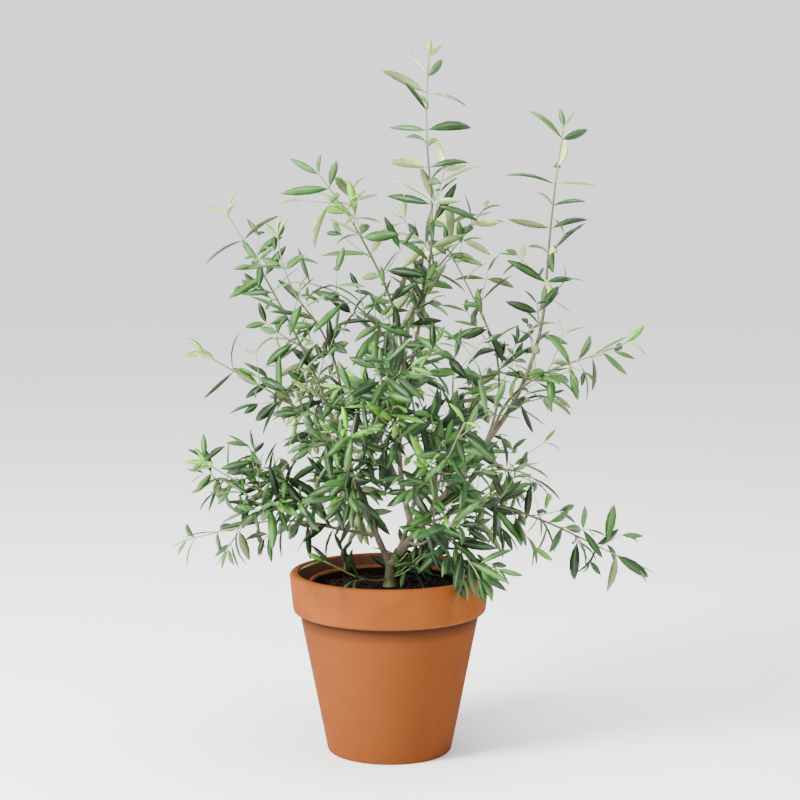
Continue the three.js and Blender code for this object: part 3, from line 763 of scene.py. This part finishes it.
class Plan:
    """Every limb's curve, and the space that each mass of foliage keeps to."""

    def __init__(self):
        self.paths = {"trunk": trunk_path()}
        bough_lengths = {"trunk": FORK_HEIGHT - TRUNK_FOOT}
        wood, radii = [], []
        for limb in LIMBS:
            parent = self.paths[limb.parent]
            start = point_along(parent, limb.at * bough_lengths[limb.parent], PATH_STEP)
            path = limb_path(limb, start)
            self.paths[limb.name] = path
            bough_lengths[limb.name] = limb.bough
            along_bough = range(int(limb.bough / PATH_STEP) + 1)
            wood += [path[i] for i in along_bough]
            radii += [limb_radius(limb, i * PATH_STEP) for i in along_bough]
        trunk = self.paths["trunk"]
        wood += list(trunk)
        radii += [trunk_radius(i / (len(trunk) - 1)) for i in range(len(trunk))]
        self.wood_points = np.array(wood)
        self.wood_radii = np.array(radii)
        self.shoots = [self.paths[limb.name][int(limb.bough / PATH_STEP) :] for limb in LIMBS]
        self.shoot_points = np.concatenate(self.shoots)
        self.shoot_starts = np.cumsum([0] + [len(shoot) for shoot in self.shoots[:-1]])

    def is_clear(self, points, margin):
        """Which points are clear of the pot, the compost and the wood."""
        wood = np.linalg.norm(points[:, None] - self.wood_points[None], axis=2)
        return clear_of_pot(points, margin) & (wood > self.wood_radii + margin).all(axis=1)

    def in_space(self, points, index, margin, overreach=0.0):
        """Which points are clear, and lie nearest to the mass's own shoot."""
        points = np.atleast_2d(points)
        away = np.linalg.norm(points[:, None] - self.shoot_points[None], axis=2)
        nearest = np.minimum.reduceat(away, self.shoot_starts, axis=1)
        own = nearest[:, index].copy()
        nearest[:, index] = np.inf
        return self.is_clear(points, margin) & (nearest.min(axis=1) > own + 2 * margin - overreach)


def wander(draw):
    """A small step in any direction."""
    return np.array([draw(), draw(), draw()]) - 0.5


def sideways(direction, degrees):
    """A unit vector square to the direction, turned round it."""
    away = UP if abs(direction[2]) < 0.9 else np.array([1.0, 0.0, 0.0])
    side = unit(np.cross(direction, away))
    angle = math.radians(degrees)
    return side * math.cos(angle) + np.cross(direction, side) * math.sin(angle)


def leaning(direction, side, degrees):
    """The direction leant over towards a side."""
    return direction * math.cos(math.radians(degrees)) + side * math.sin(math.radians(degrees))


Twig = namedtuple("Twig", "points radius")


def main_twigs(plan, limb, index):
    """The twigs of the mass's own solid, by the rule and the seed that made it."""
    draw = SeededDraw(2 * index + 1)
    path = plan.paths[limb.name]
    twigs = []
    turn_angle = 360 * draw()
    along = TWIG_FIRST
    while along < limb.shoot * limb.bushy:
        direction = direction_along(path, limb.bough + along, PATH_STEP)
        out = leaning(direction, sideways(direction, turn_angle), draw.of(TWIG_OUT))
        reach = limb.reach * (1 - (0.5 * along) / limb.shoot) * draw.of(TWIG_REACH)
        points = [point_along(path, limb.bough + along, PATH_STEP)]
        while (len(points) - 1) * TWIG_STEP < reach:
            out = unit(out + limb.rise * UP)
            following = points[-1] + out * TWIG_STEP
            if not plan.in_space(following, index, TWIG_MARGIN)[0]:
                break
            points.append(following)
        if (len(points) - 1) * TWIG_STEP >= TWIG_SHORTEST:
            root = min(TWIG_RADIUS, TWIG_ROOT_SHARE * limb_radius(limb, limb.bough + along))
            twigs.append(Twig(np.array(points), root))
        turn_angle += GOLDEN_ANGLE
        along += TWIG_GAP * draw.of(TWIG_GAP_SPREAD)
    return twigs


def finer_twigs(plan, limb, index, stem, spacing, first, last, gap, reach, draw, overreach=16):
    """Short side twigs on a shoot or twig, which may pass the mass's space by the overreach."""
    twigs = []
    turn_angle = 360 * draw()
    along = first
    while along < last:
        direction = direction_along(stem, along, spacing)
        out = leaning(direction, sideways(direction, turn_angle), draw.of(FINE_OUT))
        length_wanted = reach * draw.of(FINE_REACH)
        points = [point_along(stem, along, spacing)]
        while (len(points) - 1) * FINE_STEP < length_wanted:
            out = unit(out + (FINE_RISE + limb.rise) * UP + FINE_WANDER * wander(draw))
            following = points[-1] + out * FINE_STEP
            if not plan.in_space(following, index, FINE_MARGIN, overreach)[0]:
                break
            points.append(following)
        if len(points) > 3:
            twigs.append(Twig(np.array(points), FINE_RADIUS))
        turn_angle += draw.of(FINE_TURN)
        along += gap * draw.of(FINE_GAP_SPREAD)
    return twigs


# ---------------------------------------------------------------- tubes: bark, shoots and twigs


def tube(points, radii, sides):
    """Rings round a run of points, closed at both ends: corners, quads and end fans."""
    count = len(points)
    tangents = np.gradient(points, axis=0)
    tangents /= np.linalg.norm(tangents, axis=1)[:, None]
    normal = sideways(tangents[0], 0)
    rings = []
    around = np.arange(sides)
    angles = around * 2 * math.pi / sides
    for i in range(count):
        normal = unit(normal - tangents[i] * (normal @ tangents[i]))
        binormal = np.cross(tangents[i], normal)
        spokes = np.cos(angles)[:, None] * normal + np.sin(angles)[:, None] * binormal
        rings.append(points[i] + np.reshape(radii[i], (-1, 1)) * spokes)
    corners = np.concatenate(rings + [points[:1], points[-1:]])
    following = (around + 1) % sides
    faces = []
    for i in range(count - 1):
        low, high = i * sides, (i + 1) * sides
        faces += np.stack([low + around, low + following, high + following, high + around], 1).tolist()
    root, tip, last = count * sides, count * sides + 1, (count - 1) * sides
    faces += np.stack([np.full(sides, root), following, around], 1).tolist()
    faces += np.stack([np.full(sides, tip), last + around, last + following], 1).tolist()
    return corners, faces


def joined(parts, name, materials, nodes):
    """One piece from many (corners in mm, faces, material index) parts."""
    corners, faces, indices = [], [], []
    offset = 0
    for part_corners, part_faces, index in parts:
        corners.append(part_corners)
        faces += [[offset + v for v in face] for face in part_faces]
        indices += [index] * len(part_faces)
        offset += len(part_corners)
    mesh = bpy.data.meshes.new(name)
    mesh.from_pydata((np.concatenate(corners) * MM).tolist(), [], faces)
    mesh.polygons.foreach_set("material_index", indices)
    return finish_piece(mesh, name, materials, nodes)


def resampled(points, spacing, step, length_wanted):
    """Points about every `step` along a run of points, and how far along each one lies."""
    count = max(3, round(length_wanted / step) + 1)
    places = np.linspace(0, length_wanted, count)
    known = np.arange(len(points)) * spacing
    return np.stack([np.interp(places, known, points[:, axis]) for axis in range(3)], axis=1), places


# ---------------------------------------------------------------- bark

TRUNK_RING_STEP = 1.6
BOUGH_RING_STEP = 2.4
TRUNK_SIDES = 28
STOUT_SIDES = 18
SLIM_SIDES = 12
STOUT_RADIUS = 4
OLD_BARK_RADIUS = 2.7
COLLAR_SWELL = 0.30
SCAR_SWELL = 0.07
SCAR_GAP = 27.0

# The streaks and the lichen of old and young bark.
OLD_TONES = ((0.074, 0.064, 0.042), (0.235, 0.220, 0.155))
YOUNG_TONES = ((0.075, 0.068, 0.040), (0.210, 0.210, 0.120))


def bark_rings(places, radius_at, sides, seed, depth):
    """Ring radii with furrows that run along the limb."""
    rings = []
    for place in places:
        radius = radius_at(place)
        ring = np.empty(sides)
        for k, angle in enumerate(np.arange(sides) * 2 * math.pi / sides):
            around = Vector((math.cos(angle), math.sin(angle), 0)) * radius * 0.35
            spot = Vector((around.x + seed * 7.3, around.y - seed * 3.1, place * 0.045))
            furrow = noise.noise(spot * 2.1) + 0.5 * noise.noise(spot * 5.3)
            ring[k] = radius * (1 + depth * furrow)
        rings.append(ring)
    return rings


def bough_radius(limb, along):
    """The limb's radius with a collar at its root and swellings at its old leaf scars."""
    collar = 1 + COLLAR_SWELL * math.exp(-along / (2.2 * limb.radius))
    scar = 1 + SCAR_SWELL * math.exp(-(((along % SCAR_GAP) - SCAR_GAP / 2) ** 2) / 7)
    return limb_radius(limb, along) * collar * scar


class OLIVE_OT_bark(bpy.types.Operator):
    """Cover the trunk and every bough with bark that has relief, collars and scars"""

    bl_idname = "olive.bark"
    bl_label = "Trunk and Boughs"

    def execute(self, context):
        s = context.scene.olive_tree
        plan = Plan()
        trunk = plan.paths["trunk"]
        height = FORK_HEIGHT - TRUNK_FOOT
        points, places = resampled(trunk, height / (len(trunk) - 1), TRUNK_RING_STEP, height)
        rings = bark_rings(places, lambda along: trunk_radius(along / height), TRUNK_SIDES, 0.5, 0.10)
        parts = [(*tube(points, rings, TRUNK_SIDES), 0)]
        for seed, limb in enumerate(LIMBS, 1):
            points, places = resampled(plan.paths[limb.name], PATH_STEP, BOUGH_RING_STEP, limb.bough)
            sides = STOUT_SIDES if limb.radius > STOUT_RADIUS else SLIM_SIDES
            rings = bark_rings(places, partial(bough_radius, limb), sides, seed, 0.09)
            parts.append((*tube(points, rings, sides), 0 if limb.radius > OLD_BARK_RADIUS else 1))
        materials = [
            bark_material("old_bark", s.bark, *OLD_TONES, s.moss, 240),
            bark_material("young_bark", s.young_bark, *YOUNG_TONES, s.moss, 300),
        ]
        nodes = ["trunk"] + ["bough_" + limb.name for limb in LIMBS]
        joined(parts, "olive_bark", materials, nodes)
        return {"FINISHED"}


# ---------------------------------------------------------------- leaves

# Half-width at each station along a leaf, as shares of its length and of its full width.
LEAF_STATIONS = [(0.07, 0.17), (0.23, 0.72), (0.44, 1.0), (0.67, 0.90), (0.87, 0.48)]
RIB = 0.03
RIB_RAISE = 0.055
UNDER_DEPTH = 0.060
BLADE, MIDRIB, UNDERSIDE = range(3)
SIDES = (BLADE, MIDRIB, BLADE, UNDERSIDE, UNDERSIDE)

DEEP, DARK, GREEN, YOUNG, BUD = range(5)
LEAF_TONES = 5
# The first underside is painted shade, for leaves deep in the crown.
SHADE_UNDERSIDE, SILVER, PALE = 1, 2, 3

CROWN_MIDDLE = np.array([15.0, 0.0, 420.0])
CROWN_REACH = np.array([240.0, 200.0, 260.0])
HIGH_LEVEL, HIGH_DEPTH = 680.0, 150.0
FLUSH_YOUTH = 0.85

# How a leaf faces, hangs and rolls. Angles are in degrees, and a high leaf rolls further.
TO_LIGHT = np.array([-0.12, -0.36, 0.0])
FACE_ALONG, FACE_UP, FACE_OUT = 0.40, 0.55, 0.38
DROOP_LEVEL, LOW_DROOP, HIGH_DROOP = 640, 0.62, 0.30
LEAST_ROLL, ROLL, HIGH_ROLL = 10, 50, 24

# How clear a leaf keeps, and how far it may pass its mass's own space.
LEAF_MARGIN = 0.9
LEAF_OVERREACH = 34

# Spreads of the leaves, each as its least value and its extent.
LENGTH_SPREAD = (0.80, 0.36)
WIDTH_SPREAD = (0.82, 0.34)
CURL = (0.30, 1.10)
FOLD = (0.08, 0.34)
LEAF_OUT = (36, 32)
LEAF_GAP_SPREAD = (0.78, 0.44)
TIP_OUT = (12, 16)
TIP_SIZE = (0.48, 0.18)
VIGOUR = (0.42, 0.48)

Leaf = namedtuple("Leaf", "root axis normal length width curl fold tone under")


def leaf_template():
    """Corners as (share along, across, raise, folding), faces, and what each face is."""
    corners = [(0.0, 0.0, 0.0, 0.0)]
    for share, half in LEAF_STATIONS:
        rib = min(half * 0.9, RIB + 0.04 * (1 - share))
        corners += [(share, half, 0.0, half), (share, rib, RIB_RAISE, 0.0)]
        corners += [(share, -rib, RIB_RAISE, 0.0), (share, -half, 0.0, half)]
        corners.append((share, 0.0, -UNDER_DEPTH, 0.0))
    tip, count = len(corners), len(SIDES)
    last = tip - count
    corners.append((1.0, 0.0, 0.0, 0.0))
    sides = [(k, (k + 1) % count, kind) for k, kind in enumerate(SIDES)]
    faces, kinds = [], []
    for a in range(1, last, count):
        b = a + count
        for k, after, kind in sides:
            faces.append((a + k, b + k, b + after, a + after))
            kinds.append(kind)
    for k, after, kind in sides:
        faces += [(0, 1 + k, 1 + after), (last + k, tip, last + after)]
        kinds += [kind, kind]
    return np.array(corners), faces, np.array(kinds)


def leaf_mesh(leaves, name, materials, nodes):
    """All the leaves as one mesh: each is the template bent, turned and scaled to its place."""
    template, faces, kinds = leaf_template()
    share, side, height, folding = (template[None, :, k : k + 1] for k in range(4))
    every = Leaf(*(np.array(values) for values in zip(*leaves)))
    root, axis, normal = every.root[:, None], every.axis[:, None], every.normal[:, None]
    long, wide, curl, fold = (values[:, None, None] for values in every[3:7])
    across = np.cross(normal, axis)
    bend = curl * share
    forward = np.sin(bend) / curl
    fall = (1 - np.cos(bend)) / curl
    raised = (height - fold * folding) * wide * 0.55
    corners = (
        root
        + axis * (forward * long + raised * np.sin(bend))
        + across * side * wide / 2
        + normal * (-fall * long + raised * np.cos(bend))
    )
    count = len(template)
    mesh = bpy.data.meshes.new(name)
    all_faces = []
    for start in range(0, len(leaves) * count, count):
        all_faces += [tuple(start + v for v in face) for face in faces]
    mesh.from_pydata((corners.reshape(-1, 3) * MM).tolist(), [], all_faces)
    tone, under = every.tone[:, None], every.under[:, None]
    index = np.where(kinds == BLADE, tone, np.where(kinds == MIDRIB, LEAF_TONES, LEAF_TONES + under))
    mesh.polygons.foreach_set("material_index", index.ravel().astype(np.int32))
    return finish_piece(mesh, name, materials, nodes)


def leaf_fits(plan, leaf, index):
    """Whether a leaf is clear and, unless it has no mass, keeps to its mass's space."""
    across = np.cross(leaf.normal, leaf.axis)
    samples = []
    for share in (0.25, 0.42, 0.6, 0.8, 1.0):
        half = leaf.width / 2 * min(1, (1 - share) / 0.58)
        middle = leaf.root + leaf.axis * share * leaf.length
        middle = middle - leaf.normal * leaf.curl * leaf.length * share**2 / 2
        samples += [middle + across * half, middle - across * half]
    samples = np.array(samples)
    if index is None:
        return plan.is_clear(samples, LEAF_MARGIN).all()
    return plan.in_space(samples, index, LEAF_MARGIN, LEAF_OVERREACH).all()


def outward(point):
    """From the crown's axis to a point, level and a little shorter than 1."""
    away = np.array([point[0] - CROWN_MIDDLE[0], point[1], 0.0])
    return away / (60.0 + math.sqrt(away @ away))


def inner_share(point):
    """How deep a point lies in the crown, from 0 outside to 1 at its heart."""
    away = (point - CROWN_MIDDLE) / CROWN_REACH
    return max(0.0, 1 - math.sqrt(away @ away))


def high_share(point):
    """How high a point lies in the crown, from 0 at its middle to 1 near its top."""
    return min(1.0, max(0.0, (point[2] - HIGH_LEVEL) / HIGH_DEPTH))


def in_flush(point):
    """Whether a point lies in one of the bright young sprays."""
    return any(np.linalg.norm(point - np.array(place)) < reach for *place, reach in FLUSHES)


def leaf_tone(root, young, draw):
    """Young leaves are bright, and leaves get darker towards the heart of the crown, which paints its
    shade, and a little less dark near its top.
    """
    pick = draw()
    if young > 0.55 and pick < 0.75:
        return BUD if high_share(root) > 0.2 and not in_flush(root) else YOUNG
    darker = 0.85 * inner_share(root) - 0.16 * high_share(root)
    if pick < 0.17 + darker:
        return DEEP
    return DARK if pick < 0.52 + darker else GREEN


def leaf_underside(root, young, tone, draw):
    """Painted shade under an inner leaf, and fewer pale undersides deep in the crown, as painted shade
    too. Pale under a young or high one, and silvery under the others.
    """
    depth = inner_share(root)
    if draw() < 0.12 + 0.63 * high_share(root) - 0.4 * depth or young > 0.6 and depth < 0.3:
        return PALE
    return SHADE_UNDERSIDE if tone == DEEP or tone == DARK and depth > 0.3 else SILVER


def grow_leaves(plan, index, stem, spacing, first, s, gap, draw, vigour, scale=1.0):
    """Opposite pairs of leaves along a shoot or twig, a quarter turn on each time, and a tip."""
    length_here = (len(stem) - 1) * spacing
    full, wide = scale * s.leaf_length / MM, scale * s.leaf_width / MM
    leaves = []
    turn_angle = 360 * draw()
    along = first

    def add(place, side, out, size, young):
        direction = direction_along(stem, place, spacing)
        root = point_along(stem, place, spacing)
        high = high_share(root)
        young = max(young, FLUSH_YOUTH * in_flush(root))
        droop = (1 - young) * draw() * (LOW_DROOP if root[2] < DROOP_LEVEL else HIGH_DROOP)
        axis = unit(leaning(direction, side, out) - droop * UP)
        to_light = TO_LIGHT * (1 - 0.8 * high)
        facing = FACE_ALONG * direction + FACE_UP * UP + FACE_OUT * outward(root) + to_light
        normal = unit(facing - axis * (facing @ axis))
        roll = math.radians(LEAST_ROLL + (ROLL + HIGH_ROLL * high) * draw())
        roll *= 1 if draw() < 0.5 else -1
        normal = normal * math.cos(roll) + np.cross(axis, normal) * math.sin(roll)
        size *= 1 + 0.16 * inner_share(root) + 0.14 * high
        tone = leaf_tone(root, young, draw)
        long = full * size * draw.of(LENGTH_SPREAD)
        width = wide * (0.30 + 0.70 * size) * draw.of(WIDTH_SPREAD)
        curl, fold = draw.of(CURL), draw.of(FOLD)
        under = leaf_underside(root, young, tone, draw)
        leaf = Leaf(root, axis, normal, long, width, curl, fold, tone, under)
        if leaf_fits(plan, leaf, index):
            leaves.append(leaf)

    while along < length_here - 5:
        from_tip = length_here - along
        young = max(0.0, 1 - from_tip / 70) * vigour
        size = min(1.0, 0.70 + from_tip / 110)
        direction = direction_along(stem, along, spacing)
        for flip in (0, 180):
            side = sideways(direction, turn_angle + flip + 26 * (draw() - 0.5))
            out = draw.of(LEAF_OUT) - 12 * young
            add(along + (1.0 if flip else 0.0), side, out, size, young)
        turn_angle += 90 + 24 * (draw() - 0.5)
        along += gap * draw.of(LEAF_GAP_SPREAD) * (1 - 0.25 * young)
    direction = direction_along(stem, length_here, spacing)
    for flip in (0, 180):
        side = sideways(direction, turn_angle + flip)
        add(length_here - 1.5, side, draw.of(TIP_OUT), draw.of(TIP_SIZE), vigour)
    return leaves


# ---------------------------------------------------------------- the crown

SHOOT_SIDES = 8
TWIG_SIDES = 5
GREEN_RADIUS = 1.35
OPEN_FORK_TOP, OPEN_FORK_RADIUS = 410, 110

Crown = namedtuple("Crown", "stems leaves")


def grow_crown(plan, s):
    """Every shoot, twig and leaf: stems as (tube, material) parts, and leaves."""
    crown = Crown([], [])
    for index, limb in enumerate(LIMBS):
        grow_mass(crown, plan, limb, index, s)
    grow_low_sprays(crown, plan, s)
    return crown


def grow_mass(crown, plan, limb, index, s):
    """One mass: its shoot and twigs, the finer twigs between them, and their leaves."""
    draw = SeededDraw(s.seed * 1000 + 2 * index)
    full = LEAFINESS.get(limb.name, 1.0)
    gap = s.leaf_gap / MM / math.sqrt(full)
    reach = s.fine_twig / MM
    shoot = plan.shoots[index]
    fine = partial(finer_twigs, plan, limb, index, draw=draw)
    twigs = main_twigs(plan, limb, index)
    finer = inner_sprays(plan, limb, fine)
    leafy_end = limb.shoot * limb.bushy * min(0.9, 0.6 * full)
    finer += fine(shoot, PATH_STEP, 8, leafy_end, 28 / full, reach)
    if full >= LEAFY:
        for twig in twigs:
            end = (len(twig.points) - 1) * TWIG_STEP - 18
            finer += fine(twig.points, TWIG_STEP, 14, end, 26 / full, 0.8 * reach)
    vigour = draw.of(VIGOUR)
    crown.leaves.extend(grow_leaves(plan, index, shoot, PATH_STEP, 10, s, gap, draw, vigour))
    crown.stems.extend(shoot_parts(limb, shoot))
    runs = [(twig, TWIG_STEP, 12, 0.5) for twig in twigs]
    runs += [(twig, FINE_STEP, 9, 0.45) for twig in finer]
    for twig, spacing, first, slim in runs:
        young = 0.12 + 0.53 * draw() ** 2
        leaves = grow_leaves(plan, index, twig.points, spacing, first, s, gap, draw, young)
        add_twig(crown, twig, spacing, leaves, slim)


def inner_sprays(plan, limb, fine):
    """Short leafy twigs on the outer part of a bough, clear of the open fork."""
    bough = plan.paths[limb.name][: int(limb.bough / PATH_STEP) + 1]
    away = np.hypot(bough[:, 0], bough[:, 1])
    clear = (bough[:, 2] > OPEN_FORK_TOP) | (away > OPEN_FORK_RADIUS)
    first = max(next((i for i, out in enumerate(clear) if out), len(bough)) * PATH_STEP, 20)
    return fine(bough, PATH_STEP, first, limb.bough, 25, 60, overreach=60)


def grow_low_sprays(crown, plan, s):
    """Small leafy shoots from the foot of the trunk, low over the compost, and the bare stub."""
    draw = SeededDraw(s.seed * 1000 + 777)
    trunk = plan.paths["trunk"]
    start = point_along(trunk, LOW_SPRAY_ROOT, PATH_STEP)
    for spray in LOW_SPRAYS:
        twig = low_shoot(start, *spray, LOW_SPRAY_RADIUS, draw)
        leaves = grow_leaves(
            plan, None, twig.points, FINE_STEP, 18, s, LOW_LEAF_GAP, draw, 0.3, LOW_LEAF_SCALE
        )
        add_twig(crown, twig, FINE_STEP, leaves, 0.5)
    stub = low_shoot(point_along(trunk, STUB_ROOT, PATH_STEP), *STUB, STUB_RADIUS, draw)
    crown.stems.append(twig_part(stub, 0.3))


def low_shoot(start, azimuth, lean, size, radius, draw):
    """A small shoot that leaves the trunk and stops where it would touch the pot."""
    turned = math.radians(azimuth)
    heading = leaning(UP, np.array([math.cos(turned), math.sin(turned), 0.0]), lean)
    points = [start]
    for _ in range(round(size / FINE_STEP)):
        heading = unit(heading + 0.05 * UP + 0.10 * wander(draw))
        following = points[-1] + FINE_STEP * heading
        if not clear_of_pot(following[None], 2.0)[0]:
            break
        points.append(following)
    return Twig(np.array(points), radius)


def add_twig(crown, twig, spacing, leaves, slim):
    """Put a twig into the crown, cut back to just past its last leaf. A bare one is left out."""
    if leaves:
        reached = max(np.linalg.norm(leaf.root - twig.points[0]) for leaf in leaves)
        count = min(len(twig.points), max(2, math.ceil((reached + 1) / spacing) + 1))
        crown.leaves.extend(leaves)
        crown.stems.append(twig_part(Twig(twig.points[:count], twig.radius), slim))


def twig_part(twig, slim):
    """A twig as a tube that gets thinner by the share `slim`."""
    shares = np.linspace(0, 1, len(twig.points))
    return *tube(twig.points, twig.radius * (1 - slim * shares), TWIG_SIDES), 1


def shoot_parts(limb, shoot):
    """The shoot as two tubes, the slim one green."""
    points, places = resampled(shoot, PATH_STEP, 5, limb.shoot)
    radii = [limb_radius(limb, limb.bough + place) for place in places]
    cut = next((i for i, radius in enumerate(radii) if radius < GREEN_RADIUS), len(radii) - 1)
    cut = min(max(cut, 2), len(points) - 3)
    stout = tube(points[: cut + 1], radii[: cut + 1], SHOOT_SIDES)
    return [(*stout, 0), (*tube(points[cut:], radii[cut:], SHOOT_SIDES), 1)]


# Each leaf material, in the order of the leaf tones, the rib and the undersides: its roughness,
# sheen, drift of tone and strength of veins.
LEAF_SKINS = [
    ("leaf_deep", 0.42, 0.26, 0.3, 0.16),
    ("leaf_dark", 0.40, 0.32, 0.3, 0.16),
    ("leaf_green", 0.40, 0.36, 0.3, 0.16),
    ("leaf_young", 0.42, 0.32, 0.3, 0.16),
    ("leaf_bud", 0.45, 0.25, 0.2, 0),
    ("leaf_rib", 0.50, 0.20, 0.12, 0.16),
    ("leaf_dull", 0.65, 0.12, 0.16, 0),
    ("leaf_silver", 0.62, 0.12, 0.16, 0),
    ("leaf_pale", 0.60, 0.12, 0.14, 0),
]


class OLIVE_OT_foliage(bpy.types.Operator):
    """Grow shoots, twigs and leaves in place of every mass of foliage"""

    bl_idname = "olive.foliage"
    bl_label = "Shoots and Leaves"

    def execute(self, context):
        s = context.scene.olive_tree
        crown = grow_crown(Plan(), s)
        nodes = ["foliage_" + limb.name for limb in LIMBS]
        stems = [
            stem_material("shoot_bark", s.young_bark, 0.72),
            stem_material("green_stem", s.green_stem, 0.55),
        ]
        joined(crown.stems, "olive_shoots", stems, nodes)
        skins = [leaf_material(name, getattr(s, name), *skin) for name, *skin in LEAF_SKINS]
        leaf_mesh(crown.leaves, "olive_leaves", skins, nodes)
        return {"FINISHED"}


# ---------------------------------------------------------------- stage


# Where the camera stands, in metres, how far it looks down, in degrees, and its lens, in mm.
CAMERA_PLACE = (0.0157, -2.932, 0.861)
CAMERA_TILT = 6.46
LENS = 89.505
LIGHTS_AIM = Vector((0, 0, 0.5))


class OLIVE_OT_stage(bpy.types.Operator):
    """Set the pale floor, the soft studio light and the camera"""

    bl_idname = "olive.stage"
    bl_label = "Stage"

    def execute(self, context):
        s = context.scene.olive_stage
        scene = context.scene
        bm = bmesh.new()
        bmesh.ops.create_grid(bm, x_segments=1, y_segments=1, size=60)
        mesh = bpy.data.meshes.new("floor")
        bm.to_mesh(mesh)
        bm.free()
        floor = bpy.data.objects.new("floor", mesh)
        mesh.materials.append(Finish("pale_floor", s.floor, 0.9).material)
        scene.collection.objects.link(floor)

        world = bpy.data.worlds.new("studio")
        world.use_nodes = True
        background = world.node_tree.nodes["Background"]
        background.inputs["Color"].default_value = (*s.sky, 1)
        background.inputs["Strength"].default_value = s.fill
        scene.world = world

        self.soft_light(scene, "key", (-2.5, -1.7, 2.2), 1.4, s.key, (1.0, 0.97, 0.93))
        self.soft_light(scene, "top", (0.3, -0.2, 3.0), 1.8, 0.2 * s.key, (1.0, 1.0, 1.0))

        data = bpy.data.cameras.new("camera")
        data.lens = LENS
        data.sensor_width = 36
        data.clip_start = 0.05
        data.clip_end = 200
        camera = bpy.data.objects.new("camera", data)
        camera.location = CAMERA_PLACE
        camera.rotation_euler = (math.radians(90 - CAMERA_TILT), 0, 0)
        scene.collection.objects.link(camera)
        scene.camera = camera
        return {"FINISHED"}

    def soft_light(self, scene, name, place, size, power, tint):
        data = bpy.data.lights.new(name, "AREA")
        data.shape = "DISK"
        data.size = size
        data.energy = power
        data.color = tint
        light = bpy.data.objects.new(name, data)
        light.location = place
        aim = LIGHTS_AIM - Vector(place)
        light.rotation_euler = aim.to_track_quat("-Z", "Y").to_euler()
        scene.collection.objects.link(light)


# ---------------------------------------------------------------- panel and registration


class OLIVE_PT_panel(bpy.types.Panel):
    bl_idname = "OLIVE_PT_panel"
    bl_label = "Olive Tree"
    bl_space_type = "VIEW_3D"
    bl_region_type = "UI"
    bl_category = "Olive Tree"

    def draw(self, context):
        for operator in STEPS:
            self.layout.operator(operator.bl_idname)
        for group in (context.scene.olive_pot, context.scene.olive_tree, context.scene.olive_stage):
            box = self.layout.box()
            for name in group.__annotations__:
                box.prop(group, name)


STEPS = (
    OLIVE_OT_stage,
    OLIVE_OT_pot,
    OLIVE_OT_nursery_pot,
    OLIVE_OT_compost,
    OLIVE_OT_bark,
    OLIVE_OT_foliage,
)
CLASSES = (OlivePotSettings, OliveTreeSettings, OliveStageSettings, *STEPS, OLIVE_PT_panel)


def register():
    for cls in CLASSES:
        bpy.utils.register_class(cls)
    bpy.types.Scene.olive_pot = PointerProperty(type=OlivePotSettings)
    bpy.types.Scene.olive_tree = PointerProperty(type=OliveTreeSettings)
    bpy.types.Scene.olive_stage = PointerProperty(type=OliveStageSettings)


def unregister():
    del bpy.types.Scene.olive_pot
    del bpy.types.Scene.olive_tree
    del bpy.types.Scene.olive_stage
    for cls in reversed(CLASSES):
        bpy.utils.unregister_class(cls)


def main():
    register()
    bpy.ops.olive.stage()
    bpy.ops.olive.terracotta_pot()
    bpy.ops.olive.nursery_pot()
    bpy.ops.olive.compost()
    bpy.ops.olive.bark()
    bpy.ops.olive.foliage()


if __name__ == "__main__":
    main()
